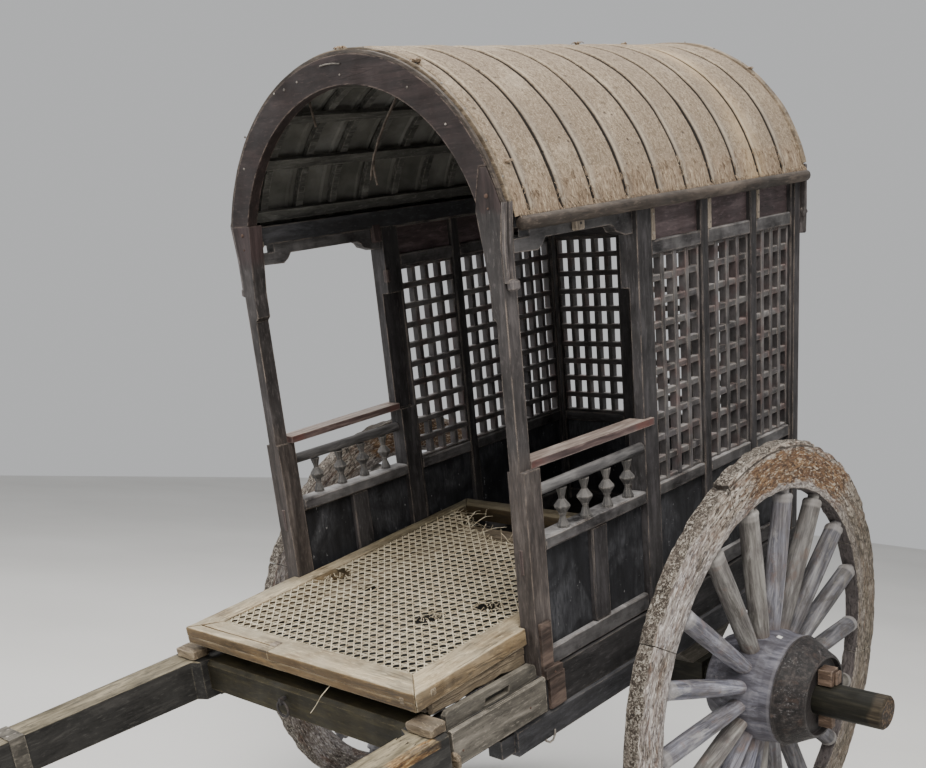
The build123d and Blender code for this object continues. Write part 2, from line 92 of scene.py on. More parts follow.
# ----------------------------------------------------------------- shading
class Mat:
    """A small node-tree writer."""

    def __init__(self, name):
        self.m = bpy.data.materials.new(name)
        self.m.use_nodes = True
        self.t = self.m.node_tree
        self.t.nodes.clear()
        self.out = self.t.nodes.new("ShaderNodeOutputMaterial")
        self.b = self.t.nodes.new("ShaderNodeBsdfPrincipled")
        self.t.links.new(self.b.outputs[0], self.out.inputs[0])
        self.x = 0

    def node(self, kind, **props):
        n = self.t.nodes.new(kind)
        for k, v in props.items():
            setattr(n, k, v)
        return n

    def link(self, a, b):
        self.t.links.new(a, b)

    def put(self, socket, value):
        if isinstance(value, bpy.types.NodeSocket):
            self.link(value, socket)
        else:
            socket.default_value = value

    def coords(self, rot=None, scale=(1, 1, 1), loc=(0, 0, 0)):
        """Object coordinates turned into the carriage's level frame, then scaled."""
        tc = self.node("ShaderNodeTexCoord")
        mp = self.node("ShaderNodeMapping")
        mp.vector_type = "POINT"
        mp.inputs["Rotation"].default_value = (-PITCH if rot is None else rot, 0, 0)
        self.link(tc.outputs["Object"], mp.inputs["Vector"])
        ms = self.node("ShaderNodeMapping")
        ms.inputs["Scale"].default_value = scale
        ms.inputs["Location"].default_value = loc
        self.link(mp.outputs[0], ms.inputs["Vector"])
        return ms.outputs[0]

    def cart(self, scale=(1, 1, 1)):
        """Coordinates in the carriage's own level frame, metres."""
        tc = self.node("ShaderNodeTexCoord")
        mp = self.node("ShaderNodeMapping")
        mp.vector_type = "POINT"
        mp.inputs["Rotation"].default_value = (-PITCH, 0, 0)
        mp.inputs["Location"].default_value = tuple(BACK.translation)
        self.link(tc.outputs["Object"], mp.inputs["Vector"])
        ms = self.node("ShaderNodeMapping")
        ms.inputs["Scale"].default_value = scale
        self.link(mp.outputs[0], ms.inputs["Vector"])
        return ms.outputs[0]

    def polar(self):
        """Sockets (angle from upright towards the rear, distance from the axle, along the axle)."""
        tc = self.node("ShaderNodeTexCoord")
        p = self.sep(tc.outputs["Object"])
        y = self.math("SUBTRACT", p[1], HUB_Y)
        z = self.math("SUBTRACT", p[2], WHEEL_R)
        r = self.math("SQRT", self.math("ADD", self.math("MULTIPLY", y, y), self.math("MULTIPLY", z, z)))
        return self.math("ARCTAN2", y, z), r, p[0], y, z

    def vec(self, x, y, z):
        n = self.node("ShaderNodeCombineXYZ")
        for i, v in enumerate((x, y, z)):
            self.put(n.inputs[i], v)
        return n.outputs[0]

    def own_normal(self):
        return self.node("ShaderNodeTexCoord").outputs["Normal"]

    def attr(self, name="mask"):
        n = self.node("ShaderNodeAttribute", attribute_name=name)
        s = self.node("ShaderNodeSeparateColor")
        self.link(n.outputs["Color"], s.inputs[0])
        return s.outputs

    def band(self, v, lo, hi, soft=0.01):
        """1 between lo and hi, falling to 0 over soft on each side."""
        up = self.node("ShaderNodeMapRange")
        self.put(up.inputs["Value"], v)
        up.inputs["From Min"].default_value = lo - soft
        up.inputs["From Max"].default_value = lo
        down = self.node("ShaderNodeMapRange")
        self.put(down.inputs["Value"], v)
        down.inputs["From Min"].default_value = hi + soft
        down.inputs["From Max"].default_value = hi
        return self.math("MULTIPLY", up.outputs[0], down.outputs[0])

    def noise(self, vec, scale=5.0, detail=4.0, rough=0.55, dist=0.0, out="Fac"):
        n = self.node("ShaderNodeTexNoise")
        self.put(n.inputs["Vector"], vec)
        n.inputs["Scale"].default_value = scale
        n.inputs["Detail"].default_value = detail
        n.inputs["Roughness"].default_value = rough
        n.inputs["Distortion"].default_value = dist
        return n.outputs[out]

    def voronoi(self, vec, scale=5.0, feature="F1", rand=1.0, out="Distance"):
        n = self.node("ShaderNodeTexVoronoi", feature=feature)
        self.put(n.inputs["Vector"], vec)
        n.inputs["Scale"].default_value = scale
        n.inputs["Randomness"].default_value = rand
        return n.outputs[out]

    def ramp(self, fac, stops, interp="LINEAR"):
        n = self.node("ShaderNodeValToRGB")
        cr = n.color_ramp
        cr.interpolation = interp
        while len(cr.elements) > 1:
            cr.elements.remove(cr.elements[-1])
        cr.elements[0].position = stops[0][0]
        cr.elements[0].color = _rgba(stops[0][1])
        for p, c in stops[1:]:
            e = cr.elements.new(p)
            e.color = _rgba(c)
        self.put(n.inputs["Fac"], fac)
        return n.outputs["Color"]

    def math(self, op, a, b=0.0, clamp=False):
        n = self.node("ShaderNodeMath", operation=op, use_clamp=clamp)
        self.put(n.inputs[0], a)
        self.put(n.inputs[1], b)
        return n.outputs[0]

    def mix(self, fac, a, b, mode="MIX"):
        n = self.node("ShaderNodeMix", data_type="RGBA", blend_type=mode)
        n.clamp_factor = True
        self.put(n.inputs["Factor"], fac)
        self.put(n.inputs["A"], _rgba(a) if isinstance(a, tuple) else a)
        self.put(n.inputs["B"], _rgba(b) if isinstance(b, tuple) else b)
        return n.outputs["Result"]

    def sep(self, vec):
        n = self.node("ShaderNodeSeparateXYZ")
        self.link(vec, n.inputs[0])
        return n.outputs

    def bevel(self, radius=0.003, samples=3):
        n = self.node("ShaderNodeBevel", samples=samples)
        n.inputs["Radius"].default_value = radius
        return n.outputs[0]

    def edge(self, radius=0.006, samples=4):
        """1 at worn outer edges, 0 on flats."""
        bv = self.bevel(radius, samples)
        g = self.node("ShaderNodeNewGeometry")
        d = self.node("ShaderNodeVectorMath", operation="DOT_PRODUCT")
        self.link(bv, d.inputs[0])
        self.link(g.outputs["Normal"], d.inputs[1])
        return self.math("MULTIPLY", self.math("SUBTRACT", 1.0, d.outputs["Value"]), 5.0, True)

    def up(self):
        g = self.node("ShaderNodeNewGeometry")
        return self.sep(g.outputs["Normal"])[2]

    def bump(self, height, strength=0.5, distance=0.002, normal=None):
        n = self.node("ShaderNodeBump")
        n.inputs["Strength"].default_value = strength
        n.inputs["Distance"].default_value = distance
        self.put(n.inputs["Height"], height)
        if normal is not None:
            self.link(normal, n.inputs["Normal"])
        return n.outputs[0]


def _rgba(c):
    if isinstance(c, (int, float)):
        return (c, c, c, 1.0)
    return (*c, 1.0) if len(c) == 3 else tuple(c)


AXES = {"x": (1.0, 14.0, 14.0), "y": (14.0, 1.0, 14.0), "z": (14.0, 14.0, 1.0)}


def wood(name, dark, mid, light, axis="y", wear=None, wear_amt=0.6, dust=None, dust_amt=0.4,
         rough=(0.55, 0.85), bump=0.5, grain=1.0, blotch=0.5, bevel=0.003, cracks=0.6, seed=0.0,
         contrast=1.0, painted_side_shade=None, extra=None):
    m = Mat(name)
    k = AXES[axis]
    off = (seed * 3.1, seed * 1.7, seed * 2.3)
    streak = m.noise(m.coords(scale=tuple(a * 2.6 * grain for a in k), loc=off), 1.0, 7, 0.62, 0.6)
    fibre = m.noise(m.coords(scale=tuple(a * 16 * grain for a in k), loc=off), 1.0, 3, 0.6)
    big = m.noise(m.coords(scale=(2.2, 2.2, 2.2), loc=off), 1.0, 4, 0.6)
    col = m.ramp(streak, [(0.25, dark), (0.5, mid), (0.78, light)])
    col = m.mix(m.math("MULTIPLY", m.ramp(fibre, [(0.35, 0.0), (0.7, 1.0)]), 0.22), col, light)
    col = m.mix(m.math("MULTIPLY", m.ramp(big, [(0.35, 1.0), (0.62, 0.0)]), blotch), col, dark)
    # scuffs and grime a few centimetres long
    scuff = m.noise(m.coords(scale=tuple(3.0 + a * 1.9 for a in k), loc=off), 1.0, 6, 0.68, 0.5)
    speck = m.noise(m.coords(scale=tuple(30.0 + a * 9 for a in k), loc=off), 1.0, 4, 0.65)
    col = m.mix(m.math("MULTIPLY", m.ramp(scuff, [(0.36, 1.0), (0.49, 0.0)]), 0.62 * contrast), col,
                tuple(c * 0.45 for c in dark))
    col = m.mix(m.math("MULTIPLY", m.ramp(scuff, [(0.53, 0.0), (0.66, 1.0)]), 0.55 * contrast), col,
                tuple(min(1.0, c * 1.45) for c in light))
    col = m.mix(m.math("MULTIPLY", m.ramp(speck, [(0.57, 0.0), (0.66, 1.0)]), 0.38 * contrast), col,
                tuple(min(1.0, c * 1.7) for c in light))
    col = m.mix(m.math("MULTIPLY", m.ramp(speck, [(0.34, 1.0), (0.42, 0.0)]), 0.5 * contrast), col,
                tuple(c * 0.4 for c in dark))
    # painted shade: faces that do not face up are multiplied by the given side colour
    if painted_side_shade is not None:
        side = m.ramp(m.up(), [(0.35, 1.0), (0.8, 0.0)])
        col = m.mix(m.math("MULTIPLY", side, painted_side_shade[1]), col, m.mix(1.0, col, painted_side_shade[0], "MULTIPLY"))
    crack = m.ramp(m.noise(m.coords(scale=tuple(a * 4.5 * grain for a in k), loc=off), 1.0, 2, 0.5, 0.3),
                   [(0.47, 0.0), (0.5, 1.0), (0.53, 0.0)])
    gate = m.ramp(m.noise(m.coords(scale=(5, 5, 5), loc=off), 1.0, 2, 0.5), [(0.5, 0.0), (0.62, 1.0)])
    crack = m.math("MULTIPLY", m.math("MULTIPLY", crack, gate), cracks)
    col = m.mix(crack, col, tuple(c * 0.35 for c in dark))
    if dust is not None:
        patch = m.noise(m.coords(scale=(9, 9, 9), loc=off), 1.0, 5, 0.65)
        up = m.math("ADD", m.math("MULTIPLY", m.math("MAXIMUM", m.up(), 0.0), 0.75), 0.25)
        f = m.math("MULTIPLY", m.math("MULTIPLY", up, m.ramp(patch, [(0.38, 0.0), (0.68, 1.0)])), dust_amt)
        col = m.mix(f, col, dust)
    if wear is not None:
        e = m.edge(0.0055)
        breakup = m.noise(m.coords(scale=tuple(3.0 + a * 1.2 for a in k), loc=off), 4.0, 5, 0.7)
        f = m.math("MULTIPLY", m.math("MULTIPLY", e, m.ramp(breakup, [(0.42, 0.0), (0.58, 1.0)])), wear_amt)
        col = m.mix(f, col, wear)
    if extra is not None:
        col = extra(m, col, scuff, speck)
    m.link(col, m.b.inputs["Base Color"])
    r = m.ramp(m.noise(m.coords(scale=(6, 6, 6), loc=off), 2.0, 4, 0.6), [(0.3, rough[0]), (0.75, rough[1])])
    m.link(r, m.b.inputs["Roughness"])
    h = m.math("ADD", m.math("MULTIPLY", streak, 0.8), m.math("MULTIPLY", fibre, 0.35))
    h = m.math("ADD", h, m.math("MULTIPLY", scuff, 0.5))
    h = m.math("SUBTRACT", h, m.math("MULTIPLY", crack, 1.2))
    m.link(m.bump(h, bump, 0.0016, m.bevel(bevel)), m.b.inputs["Normal"])
    return m.m


def rust(name, dark=(0.05, 0.03, 0.025), mid=(0.16, 0.075, 0.045), light=(0.30, 0.16, 0.10)):
    m = Mat(name)
    n1 = m.noise(m.coords(scale=(40, 40, 40)), 1.0, 6, 0.65)
    n2 = m.noise(m.coords(scale=(260, 260, 260)), 1.0, 3, 0.6)
    col = m.ramp(n1, [(0.3, dark), (0.52, mid), (0.75, light)])
    m.link(col, m.b.inputs["Base Color"])
    m.b.inputs["Metallic"].default_value = 0.25
    m.link(m.ramp(n2, [(0.3, 0.55), (0.7, 0.9)]), m.b.inputs["Roughness"])
    m.link(m.bump(m.math("ADD", n1, m.math("MULTIPLY", n2, 0.5)), 0.6, 0.0012, m.bevel(0.0015)),
           m.b.inputs["Normal"])
    return m.m


def rim_material():
    """Old felloes: cream and brown flakes along the grain, a rusty patch, a pitted dark tread."""
    m = Mat("rim_wood")
    ang, r, x, y, z = m.polar()
    arc = m.math("MULTIPLY", ang, 0.62)
    off = m.math("MULTIPLY", m.math("SIGN", x), 3.7)
    v = lambda a, b, c: m.vec(m.math("MULTIPLY", m.math("ADD", arc, off), a), m.math("MULTIPLY", r, b),
                              m.math("MULTIPLY", x, c))
    grain = m.noise(v(18, 95, 95), 1.0, 6, 0.68, 0.9)
    fleck = m.noise(v(58, 190, 190), 1.0, 4, 0.6, 0.5)
    blotch = m.noise(v(6, 12, 12), 1.0, 5, 0.65)
    col = m.ramp(grain, [(0.30, (0.045, 0.030, 0.022)), (0.42, (0.18, 0.135, 0.105)), (0.52, (0.40, 0.345, 0.29)),
                         (0.61, (0.62, 0.565, 0.50)), (0.70, (0.84, 0.80, 0.75))])
    col = m.mix(m.math("MULTIPLY", m.ramp(blotch, [(0.40, 1.0), (0.56, 0.0)]), 0.78), col,
                m.ramp(fleck, [(0.38, (0.045, 0.034, 0.025)), (0.56, (0.17, 0.135, 0.105)), (0.66, (0.36, 0.31, 0.25))]))
    flecks = m.ramp(fleck, [(0.57, 0.0), (0.62, 1.0)])
    col = m.mix(m.math("MULTIPLY", flecks, 0.7), col, (0.64, 0.585, 0.50))
    pits = m.ramp(m.noise(v(60, 140, 140), 1.0, 4, 0.65, 0.7), [(0.39, 1.0), (0.44, 0.0)])
    col = m.mix(m.math("MULTIPLY", pits, 0.9), col, (0.028, 0.018, 0.012))
    # inner third of the face is cleaner, pale and a little violet
    inner = m.band(m.math("ADD", r, m.math("MULTIPLY", m.math("SUBTRACT", blotch, 0.5), 0.03)), 0.545, 0.572, 0.012)
    lilac = m.math("MULTIPLY", m.band(ang, -2.7, -0.95, 0.25), m.ramp(blotch, [(0.42, 0.2), (0.56, 1.0)]))
    col = m.mix(m.math("MULTIPLY", lilac, 0.42), col, m.ramp(fleck, [(0.40, (0.16, 0.135, 0.135)), (0.54, (0.50, 0.465, 0.485)),
                                                                  (0.62, (0.93, 0.90, 0.93))]))
    col = m.mix(m.math("MULTIPLY", inner, 0.45), col, m.ramp(fleck, [(0.4, (0.26, 0.23, 0.225)), (0.6, (0.60, 0.565, 0.555))]))
    # orange-brown patch at the top of the face, broken up at its edges
    rag = m.noise(v(14, 34, 34), 1.0, 6, 0.72, 0.6)
    edge = m.math("MULTIPLY", m.math("SUBTRACT", rag, 0.5), 1.5)
    turn = m.band(m.math("ADD", ang, m.math("MULTIPLY", edge, 0.35)), -0.42, 0.45, 0.08)
    reach = m.band(m.math("ADD", r, m.math("MULTIPLY", edge, 0.06)), 0.570, 0.650, 0.006)
    patch = m.math("MULTIPLY", turn, reach)
    rusty = m.ramp(m.noise(v(34, 80, 80), 1.0, 6, 0.72, 0.9),
                   [(0.32, (0.034, 0.014, 0.006)), (0.45, (0.105, 0.049, 0.019)), (0.56, (0.225, 0.120, 0.050)),
                    (0.68, (0.46, 0.32, 0.175))])
    rusty = m.mix(m.math("MULTIPLY", m.ramp(fleck, [(0.55, 0.0), (0.61, 1.0)]), 0.75), rusty, (0.58, 0.50, 0.39))
    rusty = m.mix(m.math("MULTIPLY", pits, 0.6), rusty, (0.035, 0.016, 0.010))
    col = m.mix(m.math("MULTIPLY", patch, 0.92), col, rusty)
    # thinner rusty veins elsewhere
    vein = m.ramp(m.noise(v(9, 40, 40), 1.0, 5, 0.72, 0.4), [(0.54, 0.0), (0.62, 1.0)])
    col = m.mix(m.math("MULTIPLY", vein, 0.55), col, m.ramp(fleck, [(0.4, (0.085, 0.038, 0.020)), (0.62, (0.30, 0.17, 0.10))]))
    # darker over the rear and lower rear of the wheel
    rear_lower_dark = m.math("MULTIPLY", m.band(ang, 0.75, 2.6, 0.35), m.ramp(rag, [(0.36, 1.0), (0.62, 0.35)]))
    col = m.mix(m.math("MULTIPLY", rear_lower_dark, 0.86), col, m.ramp(fleck, [(0.42, (0.050, 0.041, 0.028)), (0.6, (0.20, 0.17, 0.125))]))
    # which side of the felloe is this
    n = m.sep(m.own_normal())
    radial = m.math("DIVIDE", m.math("ADD", m.math("MULTIPLY", n[1], y), m.math("MULTIPLY", n[2], z)), r)
    tread = m.ramp(radial, [(0.35, 0.0), (0.7, 1.0)])
    inner_face_shade = m.ramp(m.math("MULTIPLY", radial, -1.0), [(0.35, 0.0), (0.7, 1.0)])
    lacy = m.noise(v(125, 150, 140), 1.0, 5, 0.72, 1.1)
    lace = m.ramp(lacy, [(0.42, (0.040, 0.030, 0.023)), (0.50, (0.105, 0.082, 0.064)), (0.555, (0.36, 0.325, 0.275)),
                         (0.62, (0.50, 0.46, 0.40))])
    lace = m.mix(m.ramp(rag, [(0.50, 0.0), (0.60, 0.75)]), lace, m.ramp(lacy, [(0.4, (0.085, 0.067, 0.053)), (0.6, (0.24, 0.20, 0.165))]))
    col = m.mix(tread, col, lace)
    col = m.mix(m.math("MULTIPLY", rear_lower_dark, 0.75), col, m.mix(1.0, col, (0.62, 0.57, 0.50), "MULTIPLY"))
    # the inner faces of the felloes are a smooth purple-grey, darkened as painted shade
    col = m.mix(m.math("MULTIPLY", inner_face_shade, 0.85), col, m.ramp(grain, [(0.35, (0.045, 0.038, 0.042)), (0.65, (0.125, 0.108, 0.110))]))
    # one felloe stands proud: painted shadow as a dark line under its outer edge, and painted shade in the gaping joint
    # at its front end
    step_shadow = m.math("MULTIPLY", m.band(ang, -0.590, 0.085, 0.006), m.band(r, 0.6600, 0.6648, 0.0012))
    joint_shade = m.math("MULTIPLY", m.band(ang, -0.613, -0.592, 0.003), m.ramp(r, [(0.640, 0.0), (0.655, 1.0)]))
    col = m.mix(m.math("MULTIPLY", m.math("MAXIMUM", step_shadow, joint_shade), 0.8), col, (0.022, 0.015, 0.011))
    worn = m.math("MULTIPLY", m.edge(0.006), m.ramp(fleck, [(0.42, 0.0), (0.54, 1.0)]))
    col = m.mix(m.math("MULTIPLY", worn, 0.6), col, (0.56, 0.51, 0.44))
    m.link(col, m.b.inputs["Base Color"])
    m.link(m.ramp(blotch, [(0.3, 0.75), (0.7, 0.95)]), m.b.inputs["Roughness"])
    h = m.math("ADD", m.math("MULTIPLY", grain, 1.2), m.math("MULTIPLY", fleck, 0.6))
    h = m.math("SUBTRACT", h, m.math("MULTIPLY", pits, 0.9))
    h = m.math("ADD", h, m.math("MULTIPLY", m.math("MULTIPLY", tread, lacy), 1.6))
    m.link(m.bump(h, 0.95, 0.004, m.bevel(0.003)), m.b.inputs["Normal"])
    return m.m


def spoke_material():
    m = Mat("spoke_wood")
    ang, r, x, y, z = m.polar()
    arc = m.math("MULTIPLY", ang, 0.35)
    v = lambda a, b, c: m.vec(m.math("MULTIPLY", arc, a), m.math("MULTIPLY", r, b), m.math("MULTIPLY", x, c))
    grain = m.noise(v(70, 4.5, 70), 1.0, 6, 0.6, 0.5)
    fine = m.noise(v(320, 16, 320), 1.0, 3, 0.6)
    blotch = m.noise(v(16, 12, 16), 1.0, 4, 0.6)
    # each spoke has its own tint
    each = m.noise(m.vec(m.math("ROUND", m.math("MULTIPLY", m.math("ADD", ang, 0.095), 18 / 6.2832)), 0.5, 0.5), 3.7, 0, 0.5)
    col = m.ramp(grain, [(0.30, (0.040, 0.039, 0.050)), (0.46, (0.135, 0.137, 0.176)), (0.58, (0.27, 0.273, 0.330)), (0.70, (0.46, 0.46, 0.51))])
    col = m.mix(m.ramp(each, [(0.46, 0.0), (0.64, 0.75)]), col,
                m.ramp(grain, [(0.32, (0.085, 0.075, 0.058)), (0.52, (0.22, 0.205, 0.17)), (0.70, (0.40, 0.38, 0.32))]))
    scuff = m.noise(v(30, 9, 30), 1.0, 6, 0.7, 0.6)
    col = m.mix(m.math("MULTIPLY", m.ramp(scuff, [(0.38, 1.0), (0.48, 0.0)]), 0.6), col, (0.060, 0.052, 0.052))
    col = m.mix(m.math("MULTIPLY", m.ramp(scuff, [(0.55, 0.0), (0.66, 1.0)]), 0.5), col, (0.47, 0.455, 0.44))
    col = m.mix(m.math("MULTIPLY", m.ramp(blotch, [(0.36, 0.9), (0.56, 0.0)]), 0.55), col, (0.10, 0.085, 0.085))
    col = m.mix(m.math("MULTIPLY", m.ramp(fine, [(0.5, 0.0), (0.7, 1.0)]), 0.3), col, (0.42, 0.40, 0.38))
    stain = m.ramp(m.noise(v(24, 20, 24), 1.0, 4, 0.6), [(0.58, 0.0), (0.68, 1.0)])
    col = m.mix(m.math("MULTIPLY", stain, 0.4), col, (0.20, 0.125, 0.10))
    # painted shade: spokes towards the rear of the wheel are darkened
    painted_rear_shade = m.math("MULTIPLY", m.band(ang, 0.30, 2.6, 0.25), 0.9)
    col = m.mix(painted_rear_shade, col, m.mix(1.0, col, (0.54, 0.52, 0.46), "MULTIPLY"))
    # painted highlight on the rounded shoulder at the rim
    col = m.mix(m.math("MULTIPLY", m.band(r, 0.517, 0.545, 0.006), 0.45), col, (0.36, 0.34, 0.32))
    col = m.mix(m.math("MULTIPLY", m.band(r, 0.10, 0.17, 0.02), 0.4), col, (0.15, 0.115, 0.10))
    m.link(col, m.b.inputs["Base Color"])
    m.link(m.ramp(blotch, [(0.3, 0.6), (0.7, 0.85)]), m.b.inputs["Roughness"])
    h = m.math("ADD", m.math("MULTIPLY", grain, 1.0), m.math("MULTIPLY", fine, 0.3))
    m.link(m.bump(h, 0.55, 0.0025, m.bevel(0.003)), m.b.inputs["Normal"])
    return m.m


def hub_material(name, near):
    """near: distance from the centre line at which the scuffed iron-stained band begins."""
    m = Mat(name)
    ang, r, x, y, z = m.polar()
    ax = m.math("ABSOLUTE", x)
    arc = m.math("MULTIPLY", ang, 0.15)
    v = lambda a, b, c: m.vec(m.math("MULTIPLY", arc, a), m.math("MULTIPLY", r, b), m.math("MULTIPLY", x, c))
    grain = m.noise(v(70, 70, 10), 1.0, 5, 0.6, 0.4)
    blotch = m.noise(v(14, 14, 14), 1.0, 4, 0.6)
    col = m.ramp(grain, [(0.32, (0.052, 0.050, 0.062)), (0.5, (0.120, 0.118, 0.144)), (0.68, (0.235, 0.233, 0.265))])
    scuff = m.noise(v(36, 36, 12), 1.0, 6, 0.7, 0.5)
    col = m.mix(m.math("MULTIPLY", m.ramp(scuff, [(0.38, 1.0), (0.48, 0.0)]), 0.6), col, (0.040, 0.036, 0.042))
    col = m.mix(m.math("MULTIPLY", m.ramp(scuff, [(0.56, 0.0), (0.68, 1.0)]), 0.55), col, (0.32, 0.31, 0.33))
    col = m.mix(m.math("MULTIPLY", m.ramp(blotch, [(0.4, 0.8), (0.6, 0.0)]), 0.6), col, (0.055, 0.05, 0.056))
    front = m.band(ax, near, near + 0.20, 0.003)
    rusty = m.ramp(m.noise(v(60, 60, 60), 1.0, 6, 0.7), [(0.34, (0.0045, 0.004, 0.0042)), (0.5, (0.014, 0.0115, 0.0115)),
                                                         (0.64, (0.046, 0.037, 0.034))])
    spot = m.noise(v(150, 150, 130), 1.0, 4, 0.7)
    rusty = m.mix(m.math("MULTIPLY", m.ramp(spot, [(0.56, 0.0), (0.63, 1.0)]),
                         m.ramp(m.noise(v(20, 20, 20), 1.0, 3, 0.6), [(0.46, 0.05), (0.60, 0.60)])),
                  rusty, (0.17, 0.16, 0.162))
    rusty = m.mix(m.math("MULTIPLY", m.ramp(scuff, [(0.56, 0.0), (0.66, 1.0)]), 0.16), rusty, (0.16, 0.09, 0.06))
    col = m.mix(front, col, rusty)
    chalk = m.math("MULTIPLY", m.band(ang, -0.36, -0.30, 0.02), m.band(ax, near - 0.052, near - 0.042, 0.003))
    col = m.mix(m.math("MULTIPLY", m.math("MULTIPLY", chalk, m.math("GREATER_THAN", r, 0.14)), 0.9), col, (0.75, 0.74, 0.72))
    # greyed end grain round the bore, dark inside it
    col = m.mix(m.math("MULTIPLY", m.band(r, 0.0, 0.103, 0.004), 0.85), col, (0.030, 0.026, 0.026))
    col = m.mix(m.math("MULTIPLY", m.band(ax, near - 0.012, near - 0.004, 0.003), 0.3), col, (0.22, 0.21, 0.22))
    worn = m.math("MULTIPLY", m.edge(0.005), m.ramp(blotch, [(0.4, 0.2), (0.6, 1.0)]))
    col = m.mix(m.math("MULTIPLY", worn, 0.45), col, (0.30, 0.28, 0.27))
    m.link(col, m.b.inputs["Base Color"])
    m.b.inputs["Specular IOR Level"].default_value = 0.32
    m.link(m.ramp(blotch, [(0.3, 0.42), (0.7, 0.68)]), m.b.inputs["Roughness"])
    h = m.math("ADD", m.math("MULTIPLY", grain, 0.8), m.math("MULTIPLY", m.math("MULTIPLY", front, spot), 1.4))
    m.link(m.bump(h, 0.6, 0.002, m.bevel(0.003)), m.b.inputs["Normal"])
    return m.m


def mat_material():
    """Coarse felted mat. The colour attribute holds r: seam line, g: greyed strip beside a seam, b: lower hem."""
    m = Mat("roof_mat")
    seam, strip, hem = m.attr("mask")[:3]
    c = m.cart()
    fine = m.noise(m.cart((330, 330, 330)), 1.0, 3, 0.65)
    mid = m.noise(m.cart((95, 130, 95)), 1.0, 5, 0.72, 0.5)
    big = m.noise(m.cart((7, 5, 7)), 1.0, 5, 0.65)
    col = m.ramp(mid, [(0.32, (0.080, 0.053, 0.033)), (0.43, (0.175, 0.128, 0.083)), (0.53, (0.275, 0.212, 0.145)),
                       (0.64, (0.375, 0.30, 0.215)), (0.75, (0.48, 0.40, 0.30))])
    col = m.mix(m.math("MULTIPLY", m.ramp(big, [(0.40, 1.0), (0.58, 0.0)]), 0.5), col, (0.205, 0.155, 0.11))
    col = m.mix(m.math("MULTIPLY", m.ramp(big, [(0.54, 0.0), (0.66, 1.0)]), 0.35), col, (0.47, 0.39, 0.30))
    col = m.mix(m.math("MULTIPLY", m.ramp(fine, [(0.38, 1.0), (0.48, 0.0)]), 0.45), col, (0.10, 0.073, 0.052))
    col = m.mix(m.math("MULTIPLY", m.ramp(fine, [(0.56, 0.0), (0.66, 1.0)]), 0.40), col, (0.60, 0.52, 0.41))
    dots = m.ramp(m.voronoi(m.cart((42, 32, 42)), 1.0), [(0.08, 1.0), (0.18, 0.0)])
    dots = m.math("MULTIPLY", dots, m.ramp(m.noise(m.cart((11, 7, 11)), 1.0, 3, 0.5), [(0.46, 0.0), (0.58, 1.0)]))
    col = m.mix(m.math("MULTIPLY", dots, 0.8), col, (0.060, 0.042, 0.030))
    # strokes of loose fibre in the hem
    stroke = m.noise(m.cart((60, 150, 26)), 1.0, 4, 0.6, 1.6)
    furry = m.math("MULTIPLY", hem, m.ramp(stroke, [(0.40, 1.0), (0.54, 0.0)]))
    col = m.mix(m.math("MULTIPLY", hem, 0.35), col, (0.44, 0.33, 0.225))
    col = m.mix(m.math("MULTIPLY", furry, 0.75), col, (0.17, 0.115, 0.075))
    col = m.mix(m.math("MULTIPLY", m.math("MULTIPLY", hem, m.ramp(stroke, [(0.56, 0.0), (0.66, 1.0)])), 0.6), col, (0.60, 0.50, 0.37))
    col = m.mix(m.math("MULTIPLY", strip, m.ramp(mid, [(0.3, 0.9), (0.7, 0.55)])), col, (0.225, 0.20, 0.175))
    # one bay has a straw-coloured patch towards the rear
    cy = m.sep(c)
    straw = m.math("MULTIPLY", m.band(cy[1], 1.0, 1.04, 0.05), m.ramp(big, [(0.4, 0.2), (0.6, 0.9)]))
    col = m.mix(m.math("MULTIPLY", straw, 0.5), col, (0.50, 0.36, 0.20))
    rib = m.math("MULTIPLY", m.math("MAXIMUM", m.math("MULTIPLY", seam, -1.0), 0.0), m.ramp(big, [(0.36, 0.3), (0.6, 1.0)]))
    col = m.mix(m.math("MULTIPLY", rib, 0.75), col, (0.50, 0.415, 0.30))
    col = m.mix(seam, col, (0.014, 0.010, 0.007))
    m.link(col, m.b.inputs["Base Color"])
    m.b.inputs["Roughness"].default_value = 0.93
    h = m.math("ADD", m.math("MULTIPLY", mid, 1.0), m.math("MULTIPLY", fine, 0.55))
    h = m.math("ADD", h, m.math("MULTIPLY", m.math("MULTIPLY", hem, stroke), 2.2))
    h = m.math("SUBTRACT", h, m.math("MULTIPLY", dots, 1.2))
    m.link(m.bump(h, 0.75, 0.0035), m.b.inputs["Normal"])
    return m.m


def lining_material():
    m = Mat("roof_lining")
    big = m.noise(m.cart((9, 6, 9)), 1.0, 4, 0.6)
    weave = m.noise(m.cart((260, 260, 260)), 1.0, 2, 0.6)
    col = m.ramp(big, [(0.35, (0.070, 0.069, 0.060)), (0.50, (0.112, 0.110, 0.098)), (0.64, (0.172, 0.170, 0.158))])
    col = m.mix(m.math("MULTIPLY", weave, 0.25), col, (0.05, 0.05, 0.05))
    m.link(col, m.b.inputs["Base Color"])
    m.b.inputs["Roughness"].default_value = 0.9
    m.link(m.bump(weave, 0.5, 0.001), m.b.inputs["Normal"])
    return m.m


